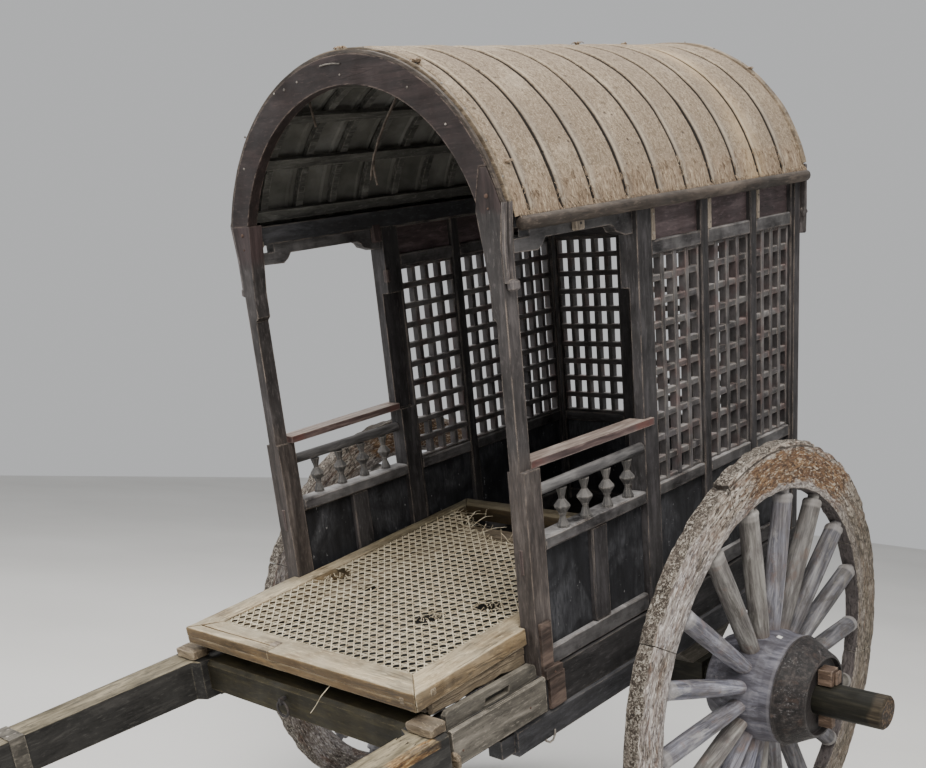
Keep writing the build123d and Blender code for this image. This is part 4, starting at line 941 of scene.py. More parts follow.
def build_rim(side, x0):
    """Nine felloes; some stand a little proud, their edges are chipped and their joints gape."""
    s = Shape(f"rim_{side}")
    r_in, r_out, half = 0.550, 0.6655, 0.024
    proud = [0.0, 0.002, 0.010, 0.0, -0.003, 0.003, -0.002, 0.002, 0.0]
    seed = 3.0 if side == "right" else 61.0
    for k in range(9):
        # felloe k spans the two spokes 2k and 2k + 1
        mid = (SPOKE_AT[2 * k] + SPOKE_AT[(2 * k + 1) % 18] + (2 * math.pi if 2 * k + 1 >= 18 else 0)) / 2
        lift = proud[(k + (0 if side == "right" else 4)) % 9]
        n, rows, verts, faces = 34, [], [], []
        gap = 0.0045 if k != 2 else 0.011
        for q in range(n + 1):
            t = q / n
            a = mid + math.radians(20) * (2 * t - 1) * (1 - gap)
            e = min(t, 1 - t)
            ends = 0.0025 * max(0.0, 1 - e * 18)
            ca, sa = math.cos(a), math.sin(a)
            ring = []
            # section, from the inner back corner round: (x, r)
            for u, w in ((-1, 0.06), (-1, 0.35), (-1, 0.68), (-1, 0.94), (-0.86, 1), (-0.35, 1), (0.3, 1),
                         (0.86, 1), (1, 0.94), (1, 0.68), (1, 0.35), (1, 0.06), (0.86, 0), (-0.86, 0)):
                px, pr = half * u, r_in + (r_out + lift - r_in) * w
                key = (ca * 4 + u * 1.3, sa * 4 + w * 2.1, seed)
                chip = wob(*key, 2.6) * 0.0036 + wob(*key, 9.0) * 0.0018 - 0.0075 * max(0.0, wob(*key, 5.2, 21.0) - 0.33) * 3
                corner = abs(u) > 0.8 and w > 0.9
                if w > 0.9:
                    pr += chip - ends - (0.006 * max(0.0, wob(*key, 4.3, 8.0) - 0.12) * 3 if corner else 0.0)
                if w <= 0.06:
                    pr += 0.4 * chip + ends * 0.5
                px += math.copysign(1, u) * (0.0016 * wob(*key, 5.0, 5.0) - ends * 0.3 - (0.004 * max(0.0, wob(*key, 6.0, 3.0) - 0.2) if w > 0.6 else 0))
                ring.append((x0 + px, AXLE_Y + pr * ca, AXLE_Z + pr * sa))
            rows.append(ring)
        m = len(rows[0])
        verts = [p for r in rows for p in r]
        for q in range(n):
            for e in range(m):
                faces.append((q * m + e, q * m + (e + 1) % m, (q + 1) * m + (e + 1) % m, (q + 1) * m + e))
        faces.append(tuple(range(m)))
        faces.append(tuple(range(n * m, n * m + m)))
        s.add(verts, faces)
    return s.build([M["rim"]], f"wheel_{side}", (f"wheel_{side}_rim",), smooth=38)


def build_wheel_bits(side, x0):
    """Washers of worn wood at the spoke shoulders."""
    s = Shape(f"spoke_collars_{side}")
    sg = 1 if side == "right" else -1
    for k, a in enumerate(SPOKE_AT):
        ca, sa = math.cos(a), math.sin(a)
        rad, tan = Vector((0, ca, sa)), Vector((0, -sa, ca))
        verts, faces = [], []
        prof = [(0.520, 0.98), (0.5240, 1.02), (0.5285, 1.035), (0.5325, 1.00), (0.5360, 0.88)]
        hx, ht, n = 0.0262, 0.0252, 16
        for r, w in prof:
            for e in range(n):
                t = 2 * math.pi * e / n
                ww = w + 0.02 * wob(r * 90, e * 0.8, k * 3.0)
                verts.append(Vector((x0 + hx * ww * math.cos(t), AXLE_Y, AXLE_Z)) + rad * r + tan * (ht * ww * math.sin(t)))
        for q in range(len(prof) - 1):
            for e in range(n):
                faces.append((q * n + e, q * n + (e + 1) % n, (q + 1) * n + (e + 1) % n, (q + 1) * n + e))
        faces.append(tuple(range(n)))
        faces.append(tuple(range(len(verts) - n, len(verts))))
        s.add(verts, faces)
    return s.build([M["spoke"]], f"wheel_{side}", smooth=50)


# --------------------------------------------------------------------- seat
TILT = math.radians(2.85)
SEAT_O = Vector((0, -0.382, 0.855))


def seat(u, l, h):
    """Seat frame coordinates (across, back from the front edge, up from its underside) to the cart frame."""
    return (u, SEAT_O.y + l * math.cos(TILT) - h * math.sin(TILT), SEAT_O.z + l * math.sin(TILT) + h * math.cos(TILT))


def inside(poly, x, y):
    hit, n = False, len(poly)
    for i in range(n):
        x0, y0 = poly[i]
        x1, y1 = poly[(i + 1) % n]
        if (y0 > y) != (y1 > y) and x < (x1 - x0) * (y - y0) / (y1 - y0) + x0:
            hit = not hit
    return hit


IN_L, IN_R, IN_F, IN_B = -0.352, 0.342, 0.075, 1.046   # clear opening of the frame


def build_seat_frame():
    """Four mitred rails; the front one is split by a long crack and has a small plug."""
    s = Shape("seat_rails")
    top = 0.045

    def slab(outline, h0, h1, ch=0.003, mat=0, wear=1.0, seed=0.0):
        """A board with its outline in (u, l), edges rounded, long edges broken into short lengths."""
        pts = []
        n = len(outline)
        for i in range(n):
            p, q = Vector(outline[i]), Vector(outline[(i + 1) % n])
            m = max(1, int((q - p).length / 0.03))
            pts += [p + (q - p) * (t / m) for t in range(m)]
        n = len(pts)
        area = sum(pts[i].x * pts[(i + 1) % n].y - pts[(i + 1) % n].x * pts[i].y for i in range(n))
        sg = 1 if area > 0 else -1
        nor = []
        for i in range(n):
            d1 = (pts[i] - pts[i - 1]).normalized()
            d2 = (pts[(i + 1) % n] - pts[i]).normalized()
            n1, n2 = Vector((-d1.y, d1.x)) * sg, Vector((-d2.y, d2.x)) * sg
            b = n1 + n2
            b = b / max(0.35, b.length_squared / 2) if b.length > 1e-6 else n1
            nor.append(b)
        rings = []
        for h, inset in ((h0, ch), (h0 + ch, 0.0), ((h0 + h1) / 2, 0.0), (h1 - ch, 0.0), (h1 - ch * 0.3, ch * 0.4), (h1, ch)):
            ring = []
            for i in range(n):
                w = wob(pts[i].x, pts[i].y, h, 11.0, seed)
                e = wob(pts[i].x, pts[i].y, h, 34.0, seed + 9)
                ins = inset * (1.0 + 0.9 * max(-0.6, e)) * wear + 0.0005 * w
                p = pts[i] + nor[i] * ins
                ring.append(seat(p.x, p.y, h + (0.0006 * w if h > h0 + ch else 0)))
            rings.append(ring)
        verts = [p for r in rings for p in r]
        faces = []
        for q in range(len(rings) - 1):
            for e in range(n):
                faces.append((q * n + e, q * n + (e + 1) % n, (q + 1) * n + (e + 1) % n, (q + 1) * n + e))
        faces.append(tuple(range(n)))
        faces.append(tuple(range(len(verts) - n, len(verts))))
        s.add(verts, faces, mat)

    g = 0.0007
    W, L, N, C = 0.420, 1.106, 0.398, 0.382
    # front rail in two lips either side of the crack, then the solid part
    slab([(-W + g, 0), (-0.085, 0), (-0.085, 0.0285), (-0.200, 0.0290), (-0.300, 0.0278), (-W + 0.031, 0.0288)], 0.020, top, 0.0026, 0, 1, 1)
    slab([(-W + 0.0345, 0.0325), (-0.300, 0.0310), (-0.200, 0.0322), (-0.0835, 0.0312), (-0.0835, IN_F), (IN_L + g, IN_F)], 0.020, top - 0.0012, 0.0020, 0, 1, 2)
    slab([(-0.0828, 0), (W - g, 0), (IN_R, IN_F), (-0.0828, IN_F)], 0.020, top, 0.0024, 0, 1, 3)
    slab([(-W + g, 0), (W - g, 0), (IN_R, IN_F), (IN_L + g, IN_F)], 0.0, 0.0202, 0.0026, 0, 1, 4)
    # side rails: notched behind the front posts
    slab([(-W, 0.001), (IN_L, IN_F + g), (IN_L, IN_B), (-N, L - 0.002), (-N, C), (-W, C)], 0.0, top, 0.0030, 1, 1, 5)
    slab([(W, 0.001), (W, C), (N, C), (N, L - 0.002), (IN_R, IN_B), (IN_R, IN_F + g)], 0.0, top, 0.0030, 1, 1, 6)
    # rear rail
    slab([(-N, L), (IN_L + g, IN_B + g), (IN_R - g, IN_B + g), (N, L)], 0.0, top, 0.0026, 0, 1, 7)
    # plug beside the crack
    slab([(-0.106, 0.0300), (-0.0845, 0.0300), (-0.0845, 0.0520), (-0.106, 0.0520)], 0.030, top + 0.0022, 0.0015, 2, 1, 8)
    # pegs at the near corner joint, seen as dark squares in the edge
    slab([(0.372, -0.0012), (0.384, -0.0012), (0.384, 0.010), (0.372, 0.010)], 0.014, 0.030, 0.001, 3, 1, 9)
    slab([(0.410, 0.052), (0.4212, 0.052), (0.4212, 0.064), (0.410, 0.064)], 0.020, 0.034, 0.001, 3, 1, 10)
    return s.build([M["seat_x"], M["seat_y"], M["pale_x"], M["rough_x"]], "body", ("seat_frame",), smooth=35)


# edge of the sound cane along the rear rail, and the tears (across, back from the front edge)
TORN = [(-0.36, 1.2), (-0.352, 1.030), (-0.338, 1.000), (-0.300, 0.985), (-0.262, 0.962), (-0.235, 0.935),
        (-0.205, 0.905), (-0.165, 0.890), (-0.120, 0.868), (-0.070, 0.848), (0.0, 0.842), (0.08, 0.846),
        (0.17, 0.838), (0.26, 0.845), (0.345, 0.835), (0.36, 1.2)]
TEARS = [[(-0.352, 0.395), (-0.325, 0.400), (-0.285, 0.425), (-0.278, 0.465), (-0.318, 0.486), (-0.352, 0.476)],
         [(0.122, 0.322), (0.148, 0.310), (0.170, 0.338), (0.168, 0.368), (0.144, 0.370), (0.122, 0.350)],
         [(0.222, 0.442), (0.256, 0.436), (0.280, 0.462), (0.254, 0.480), (0.224, 0.468)],
         [(-0.158, 0.416), (-0.140, 0.416), (-0.138, 0.434), (-0.156, 0.436)]]


def build_cane():
    """Six-way open cane: pairs across and along, singles on both diagonals, torn at the rear."""
    s = Shape("seat_cane_weave")
    p = 0.0262
    x0, x1, l0, l1 = IN_L - 0.003, IN_R + 0.003, IN_F - 0.003, IN_B + 0.003

    def sound(x, l, slack):
        if not (x0 <= x <= x1 and l0 <= l <= l1):
            return False
        if inside(TORN, x, l - slack):
            return False
        return not any(inside(t, x, l) for t in TEARS)

    def level(x, l):
        """The seat sags a little towards the middle and lifts where it is torn."""
        sag = 0.006 * max(0.0, 1 - ((x + 0.005) / 0.35) ** 2) * max(0.0, 1 - ((l - 0.52) / 0.5) ** 2)
        drop = 0.012 * max(0.0, (l - 0.80) / 0.2) if x > -0.25 else 0.0
        return 0.0395 - sag - drop + 0.0010 * wob(x, l, 0, 9.0)

    def strand(start, end, lift, width, tone, wave):
        a, b = Vector(start), Vector(end)
        d = (b - a)
        n = max(2, int(d.length / 0.0131))
        d.normalize()
        side = Vector((-d.y, d.x))
        slack = rng.uniform(-0.012, 0.022)
        run, runs = [], []
        for q in range(n + 1):
            c = a + (b - a) * (q / n)
            if sound(c.x, c.y, slack):
                run.append((c, q))
            elif run:
                runs.append(run)
                run = []
        if run:
            runs.append(run)
        for run in runs:
            if len(run) < 3:
                continue
            verts, faces = [], []
            tail = rng.uniform(-0.006, 0.010)
            for i, (c, q) in enumerate(run):
                free_end = (i == len(run) - 1 and sound(c.x - 0.02 * d.x, c.y - 0.02 * d.y, slack) and c.y > 0.80) or \
                           (i in (0, len(run) - 1) and 0.10 < c.y < 1.0 and x0 + 0.02 < c.x < x1 - 0.02)
                h = level(c.x, c.y) + lift + wave * (1 if q % 2 else -1) + (tail if free_end else 0.0)
                w = width * (1 + 0.10 * wob(c.x, c.y, lift * 900, 40.0))
                j = 0.0010 * wob(c.x, c.y, tone * 9 + slack * 500, 22.0)
                for u, k in ((-0.5, 0.0), (-0.28, 0.0006), (0.28, 0.0005), (0.5, 0.0), (0.0, -0.0006)):
                    pt = c + side * (u * w + j)
                    verts.append(seat(pt.x, pt.y, h + k))
            for i in range(len(run) - 1):
                for e in range(5):
                    faces.append((i * 5 + e, i * 5 + (e + 1) % 5, (i + 1) * 5 + (e + 1) % 5, (i + 1) * 5 + e))
            faces.append(tuple(range(5)))
            faces.append(tuple(range(len(verts) - 5, len(verts))))
            s.add(verts, faces, 0, [(tone, 0.0, 0.0)] * len(verts))

    nx, nl = int((x1 - x0) / p), int((l1 - l0) / p)
    for i in range(nx + 1):
        x = x0 + 0.010 + i * p
        for d in (-0.0017, 0.0017):
            if x + d < x1 - 0.002:
                strand((x + d, l0), (x + d, l1), 0.0, 0.0027, 0.60, 0.0002)
    for i in range(nl + 1):
        l = l0 + 0.010 + i * p
        for d in (-0.0017, 0.0017):
            if l + d < l1 - 0.002:
                strand((x0, l + d), (x1, l + d), 0.0008, 0.0027, 0.35, 0.0002)
    # diagonals pass beside the crossings of the pairs and leave an eight-sided hole
    def cut(c, sl):
        """Ends of the line l - l0 = sl * (x - x0) + c within the opening."""
        pts = []
        for x in (x0, x1):
            l = l0 + sl * (x - x0) + c
            if l0 <= l <= l1:
                pts.append((x, l))
        for l in (l0, l1):
            x = x0 + (l - l0 - c) / sl
            if x0 < x < x1:
                pts.append((x, l))
        pts.sort(key=lambda q: q[1])
        return (pts[0], pts[-1]) if len(pts) >= 2 else None
    for i in range(-nx - 1, nl + 2):
        ends = cut((i + 0.5) * p, 1.0)
        if ends:
            strand(ends[0], ends[1], 0.0014, 0.0030, 0.15, 0.0002)
    for i in range(0, nl + nx + 3):
        ends = cut(0.020 + (i + 0.5) * p, -1.0)
        if ends:
            strand(ends[0], ends[1], 0.0020, 0.0031, 0.0, 0.0002)
    return s.build([M["cane"]], "body", ("seat_cane",), smooth=60)


def build_loose_cane():
    """Frayed ends at the torn edge and one strand that hangs over the front."""
    s = Shape("cane_ends")
    for k in range(46):
        u = rng.uniform(-0.30, 0.33)
        edge = min((abs(a - u), b) for a, b in TORN[1:-1])[1]
        l = edge + rng.uniform(-0.02, 0.012)
        a = rng.uniform(-0.9, 0.9)
        n = rng.uniform(0.02, 0.075)
        c, h = (u, l), 0.034 - 0.012 * max(0.0, (l - 0.8) / 0.2)
        curl = rng.uniform(-0.9, 0.9)
        path = []
        for q in range(6):
            t = q / 5
            path.append(seat(c[0] + math.sin(a + curl * t) * n * t, c[1] + math.cos(a + curl * t) * n * t,
                             h + n * (rng.uniform(0.1, 0.5) if k % 3 == 0 else -0.25) * t * t * 1.3))
        tube(s, path, 0.0011, 5, 0, (rng.choice((0.1, 0.4, 0.8)), 0, 0), 0.5)
    # longer ones across the dark recess
    for u, l, du, dl, up in ((-0.292, 0.955, 0.060, 0.060, 0.012), (-0.250, 0.930, -0.012, 0.090, 0.020),
                             (-0.215, 0.915, 0.020, 0.085, 0.016), (-0.150, 0.890, 0.050, 0.060, 0.006),
                             (-0.330, 0.985, 0.045, 0.035, 0.004)):
        path = [seat(u + du * t, l + dl * t + 0.006 * math.sin(t * 5), 0.034 + up * math.sin(t * 2.4)) for t in
                [q / 8 for q in range(9)]]
        tube(s, path, 0.0014, 5, 0, (0.0, 0, 0), 0.5)
    # strands lifted beside the tears
    for cu, cl in ((-0.318, 0.44), (0.145, 0.345), (0.248, 0.455)):
        for k in range(9):
            a = rng.uniform(0, 6.28)
            n = rng.uniform(0.012, 0.030)
            st = (cu + 0.026 * math.cos(a), cl + 0.030 * math.sin(a))
            path = [seat(st[0] - n * t * math.cos(a + 0.5 * t), st[1] - n * t * math.sin(a + 0.5 * t),
                         0.037 + 0.010 * math.sin(t * 2.2) * rng.uniform(-1, 1)) for t in [q / 4 for q in range(5)]]
            tube(s, path, 0.0013, 5, 0, (0.5, 0, 0), 0.5)
    # the strand caught under the front rail
    path = [(0.130 - 0.0668 * t + 0.006 * math.sin(3 * t), -0.372 - 0.022 * min(1.0, t * 3) - 0.002 * math.sin(t * 3),
             0.856 - 0.082 * t) for t in [q / 10 for q in range(11)]]
    tube(s, path, lambda t: 0.0021 * (1 - 0.35 * t), 6, 0, (0.0, 0, 0), 0.5)
    return s.build([M["cane"]], "body", smooth=50)


# --------------------------------------------------------------------- roof
SEAMS = [0.072, 0.182, 0.302, 0.431, 0.560, 0.679, 0.800, 0.919, 1.033, 1.165]
VAULT_Z = 1.725


def build_roof_mat():
    """One sheet bent over the hoops, tight at each seam and slightly full between them."""
    s = Shape("roof_mat_sheet")
    y0, y1 = 0.030, 1.300
    a0 = math.asin((1.8295 - VAULT_Z) / 0.474)
    edges = [y0] + SEAMS + [y1]
    ys = []
    for p, q in zip(edges[:-1], edges[1:]):
        w = q - p
        cuts = [0.0, 0.0022, 0.0045, 0.0062, 0.0090, 0.0120, 0.0180]
        body = [p + c for c in cuts] + [p + 0.018 + (w - 0.032) * t / 6 for t in range(1, 6)]
        body += [q - c for c in (0.014, 0.0085, 0.0058, 0.0040, 0.0022)]
        ys += body
    ys.append(y1)
    rows = 118
    verts_o, verts_i, mask = [], [], []
    for i in range(rows + 1):
        t = i / rows
        # rows are closer together near the two hems
        u = t + 0.06 * math.sin(2 * math.pi * t) * -1
        for y in ys:
            hem = min(u, 1 - u) * (math.pi - 2 * a0) * 0.475
            k = max(j for j in range(len(edges) - 1) if edges[j] <= y + 1e-9)
            p, q = edges[k], edges[k + 1]
            f = (y - p) / (q - p)
            d = min(y - p, q - y)
            # the seams wander a little along the arch
            shift = 0.0030 * wob(u * 5, k * 4.0, 1.0) if 0 < k < len(edges) - 1 else 0.0
            full = 0.0052 * max(0.0, math.sin(math.pi * f)) ** 0.55
            near_seam = (k > 0 and y - p < 0.0050) or (k < len(edges) - 2 and q - y < 0.0050)
            groove = 0.0
            if k > 0 and y - p < 0.0058:
                groove = 0.0062 * min(1.0, 1.5 * (1 - (y - p) / 0.0058))
            if k < len(edges) - 2 and q - y < 0.0058:
                groove = max(groove, 0.0062 * min(1.0, 1.5 * (1 - (q - y) / 0.0058)))
            welt = 0.0022 * max(0.0, 1 - abs(y - p - 0.0095) / 0.0065) if k > 0 else 0.0
            ang = a0 + u * (math.pi - 2 * a0)
            lump = 0.0022 * wob(ang * 2.2, y * 6, 0, 1.0, 4.0) + 0.0012 * wob(ang * 9, y * 24, 0, 1.0, 2.0)
            slack = 0.0020 * max(0.0, 1 - hem / 0.09) * wob(ang * 3, y * 38, 3.0)
            r = 0.4745 + full + lump + slack + welt - groove
            if hem < 0.004:
                ang += math.copysign(1, 0.5 - u) * -0.0045 * wob(y * 60, u, 5.0)
            yy = y + shift * (1 if 0.001 < y - y0 and y1 - y > 0.001 else 0)
            verts_o.append((r * math.cos(ang), yy, VAULT_Z + r * math.sin(ang)))
            ri = min(r - 0.0045, 0.4700)
            verts_i.append((ri * math.cos(ang), yy, VAULT_Z + ri * math.sin(ang)))
            seam = 0.0
            if (k > 0 and y - p < 0.0046) or (k < len(edges) - 2 and q - y < 0.0041):
                seam = 1.0
            elif near_seam:
                seam = 0.7
            elif k > 0:
                seam = -max(0.0, 1 - abs(y - p - 0.0095) / 0.005)
            low = max(0.0, 1 - hem / 0.30)
            strip = max(0.0, 1 - abs(y - p - 0.008) / 0.017) * min(1.0, low * 1.8) if k > 0 else 0.0
            mask.append((seam, strip, max(0.0, min(1.0, (0.085 - hem) / 0.045))))
    n, c = len(ys), len(verts_o)
    verts = verts_o + verts_i
    faces_o, faces_i, rim = [], [], []
    for i in range(rows):
        for j in range(n - 1):
            q = (i * n + j, i * n + j + 1, (i + 1) * n + j + 1, (i + 1) * n + j)
            faces_o.append(q)
            faces_i.append(tuple(c + w for w in reversed(q)))
    for j in range(n - 1):
        rim.append((j, c + j, c + j + 1, j + 1))
        e = rows * n + j
        rim.append((e + 1, c + e + 1, c + e, e))
    for i in range(rows):
        a, b = i * n, (i + 1) * n
        rim.append((b, c + b, c + a, a))
        a, b = i * n + n - 1, (i + 1) * n + n - 1
        rim.append((a, c + a, c + b, b))
    s.add(verts, faces_o + faces_i + rim, 0, mask + mask)
    for q in range(len(faces_o), len(faces_o) + len(faces_i)):
        s.mi[q] = 1
    obj = s.build([M["mat"], M["lining"]], "body", ("roof_cover",), smooth=70)
    return obj


def build_roof_trim():
    """Two thin laths nailed round the front edge of the mat, with short legs down the posts."""
    s = Shape("roof_laths")
    a_end = math.asin((1.868 - VAULT_Z) / 0.470)

    def lath(r0, r1, y0, y1, mat, seed, foot):
        pts = []
        for q in range(9):
            z = foot + (1.860 - foot) * q / 8
            x_in = 0.4405 + 0.008 * max(0.0, (z - 1.775) / 0.085)
            pts.append((x_in + (r0 - 0.466) * 0.6, x_in + 0.010 + (r1 - 0.476) * 0.6, z, z))
        n = 64
        ring = []
        for q in range(n + 1):
            a = a_end + (math.pi - 2 * a_end) * q / n
            w = 0.0012 * wob(a * 5, seed, y0 * 50)
            ring.append(((r0 + w) * math.cos(a), VAULT_Z + (r0 + w) * math.sin(a),
                         (r1 + w) * math.cos(a), VAULT_Z + (r1 + w) * math.sin(a)))
        path = [(p[0], p[2], p[1], p[3]) for p in pts] + ring + [(-p[0], p[2], -p[1], p[3]) for p in reversed(pts)]
        verts, faces = [], []
        for q, (xi, zi, xo, zo) in enumerate(path):
            dy = 0.0012 * wob(q * 0.35, seed, 1.0)
            verts += [(xi, y0 + dy, zi), (xi, y1 + dy, zi), (xo, y1 - 0.001 + dy, zo), (xo, y0 + 0.001 + dy, zo)]
        for q in range(len(path) - 1):
            for e in range(4):
                faces.append((q * 4 + e, q * 4 + (e + 1) % 4, q * 4 + 4 + (e + 1) % 4, q * 4 + 4 + e))
        faces += [(0, 1, 2, 3), tuple(range(len(verts) - 4, len(verts)))]
        first = len(s.mi)
        s.add(verts, faces, mat)
        for q in list(range(8)) + list(range(len(path) - 9, len(path) - 1)):
            for e in range(4):
                s.mi[first + q * 4 + e] = 3

    lath(0.4662, 0.4730, 0.0010, 0.0110, 1, 1.0, 1.700)
    lath(0.4662, 0.4775, 0.0150, 0.0265, 0, 7.0, 1.690)
    for sg in (1, -1):
        timber(s, "z", 1.683, 1.706, tuple(sorted((sg * 0.4402, sg * 0.460))), (0.003, 0.033), 0.005, 0.008, 0.0016, 3)
    # nail heads along the outer lath
    for q in range(15):
        a = a_end + (math.pi - 2 * a_end) * (q + 0.5) / 15
        nail(s, (0.4780 * math.cos(a), 0.022, VAULT_Z + 0.4780 * math.sin(a)), (math.cos(a), 0, math.sin(a)), 0.0028, 2)
    return s.build([M["tan_x"], M["pole_x"], M["nail"], M["leg"]], "body", smooth=40)


def build_roof_bits():
    """Knots of fibre and the frayed hem."""
    s = Shape("roof_fibres")
    knots = [(0.045, 92, 0.010), (0.03, 62, 0.008), (1.10, 88, 0.007), (1.292, 52, 0.009), (0.052, 26, 0.006), (0.79, 80, 0.006)]
    for y, a, size in knots:
        t = math.radians(a)
        c = (0.482 * math.cos(t), y, VAULT_Z + 0.482 * math.sin(t))
        rock(s, c, (size, size * 1.3, size * 0.55), y * 50 + a, 0, (0, 0, 1.0), 2, 0.7)
        for k in range(7):
            b = rng.uniform(0, 6.28)
            n = rng.uniform(0.008, 0.02)
            path = [(c[0] + n * q * math.cos(b), c[1] + n * q * math.sin(b), c[2] + 0.006 * math.sin(q * 2.6) - 0.002) for q in (0, 0.4, 0.8, 1.1)]
            tube(s, path, 0.0009, 4, 0, (0, 0, 1.0))
    for sg in (1, -1):
        # fringe that hangs over the pole
        for k in range(560):
            y = rng.uniform(0.034, 1.294)
            a = math.radians(rng.uniform(12.9, 14.4))
            r, n = rng.uniform(0.476, 0.4805), rng.uniform(0.006, 0.015)
            lean = rng.uniform(-0.5, 0.5)
            x, z = r * math.cos(a), VAULT_Z + r * math.sin(a)
            path = [(sg * x, y, z), (sg * (x + 0.0035), y + n * 0.5 * math.sin(lean), z - n * 0.45),
                    (sg * (x + 0.0055), y + n * math.sin(lean), z - n)]
            tube(s, path, 0.0008, 3, 0, (0, 0, 1.0))
        for k in range(420):
            y = rng.uniform(0.034, 1.296)
            a = math.radians(rng.uniform(13.4, 20.5))
            r = 0.4785 + rng.uniform(0.0, 0.002)
            n, lean = rng.uniform(0.008, 0.020), rng.uniform(-0.8, 0.8)
            path = []
            for q in (0, 0.5, 1.0):
                b = a + (n * q / 0.478) * math.cos(lean)
                rr = r + 0.0026 * math.sin(q * 2.9)
                path.append((sg * rr * math.cos(b), y + n * q * math.sin(lean), VAULT_Z + rr * math.sin(b)))
            tube(s, path, 0.0007, 3, 0, (0, 0, 1.0))
    return s.build([M["mat"]], "body", smooth=60)


def build_poles():
    """Round poles under the hem, not quite straight, rubbed and knotty."""
    s = Shape("pole_rods")
    for sg in (1, -1):
        path, n = [], 44
        for q in range(n + 1):
            y = 0.0335 + (1.2955 - 0.0335) * q / n
            path.append((sg * (0.468 + 0.0006 * wob(y * 3, sg, 1.0)), y, 1.8155 + 0.0008 * wob(y * 3, sg, 7.0)))
        knots = [rng.uniform(0.05, 0.95) for _ in range(7)]

        def radius(t, knots=knots, sg=sg):
            r = 0.0148 + 0.0006 * wob(t * 20, sg, 3.0)
            r += sum(0.0006 * math.exp(-((t - k) / 0.012) ** 2) for k in knots)
            return r * (1 - 0.30 * max(0.0, 1 - t / 0.006) - 0.25 * max(0.0, 1 - (1 - t) / 0.006))
        tube(s, path[:1] + [(path[0][0], 0.0375, path[0][2])] + path[1:-1] + [(path[-1][0], 1.2915, path[-1][2])] + path[-1:],
             radius, 14)
    return s.build([M["pole_y"]], "body", ("eave_poles",), smooth=50)


def build_balusters():
    """Small turned posts cut to eight flat sides, sharp at the waist of the bulb."""
    s = Shape("baluster_posts")
    prof = [(0.0, 0.0150), (0.006, 0.0150), (0.010, 0.0128), (0.024, 0.0078), (0.029, 0.0076), (0.032, 0.0100),
            (0.035, 0.0098), (0.050, 0.0205), (0.0525, 0.0205), (0.066, 0.0100), (0.069, 0.0074), (0.076, 0.0080),
            (0.088, 0.0118), (0.0965, 0.0142)]
    n = 8
    for sg in (1, -1):
        for y in (0.149, 0.239, 0.329, 0.418):
            turn, lean = rng.uniform(-0.15, 0.15) + math.pi / 8, rng.uniform(-0.0008, 0.0008)
            verts, faces = [], []
            for z, r in prof:
                for e in range(n):
                    t = turn + 2 * math.pi * e / n
                    w = 1 + 0.05 * wob(z * 60, e * 1.3, y * 40)
                    verts.append((sg * 0.436 + r * w * math.cos(t) + lean * z / 0.1, y + r * w * math.sin(t), 1.1268 + z))
            for q in range(len(prof) - 1):
                for e in range(n):
                    faces.append((q * n + e, q * n + (e + 1) % n, (q + 1) * n + (e + 1) % n, (q + 1) * n + e))
            faces += [tuple(range(n)), tuple(range(len(verts) - n, len(verts)))]
            s.add(verts, faces)
    return s.build([M["baluster"]], "body", ("balusters",), smooth=12)


def build_rear_edge():
    """A narrow band over the rear edge of the mat."""
    s = Shape("rear_lath")
    a0 = math.radians(15)
    verts, faces = [], []
    n = 70
    for q in range(n + 1):
        a = a0 + (math.pi - 2 * a0) * q / n
        w = 0.0014 * wob(a * 6, 3.0, 2.0)
        for r, y in ((0.4760, 1.278), (0.4835, 1.2795), (0.4835, 1.2975), (0.4700, 1.3005)):
            verts.append(((r + w) * math.cos(a), y + w, VAULT_Z + (r + w) * math.sin(a)))
    for q in range(n):
        for e in range(4):
            faces.append((q * 4 + e, q * 4 + (e + 1) % 4, q * 4 + 4 + (e + 1) % 4, q * 4 + 4 + e))
    faces += [(0, 1, 2, 3), tuple(range(len(verts) - 4, len(verts)))]
    s.add(verts, faces, 0)
    for sg in (1, -1):
        timber(s, "z", 1.664, 1.846, tuple(sorted((sg * 0.4405, sg * 0.4660))), (1.2970, 1.3055), 0.003, 0.02, 0.0014, 2)
        rock(s, (sg * 0.4560, 1.3010, 1.7200), (0.0110, 0.0060, 0.0160), 4.0 + sg, 2, None, 2, 0.6)
    for q in range(13):
        a = a0 + (math.pi - 2 * a0) * (q + 0.5) / 13
        nail(s, (0.4845 * math.cos(a), 1.288, VAULT_Z + 0.4845 * math.sin(a)), (math.cos(a), 0, math.sin(a)), 0.0028, 1)
    return s.build([M["tan_x"], M["nail"], M["leg"]], "body", smooth=40)


# ----------------------------------------------------------- framed walls
SIDE_BAYS = [(0.551, 0.776), (0.810, 1.026), (1.058, 1.251)]
REAR_BAYS = [(-0.384, -0.142, 5), (-0.100, 0.100, 4), (0.142, 0.384, 5)]
LZ0, LZ1 = 1.127, 1.692


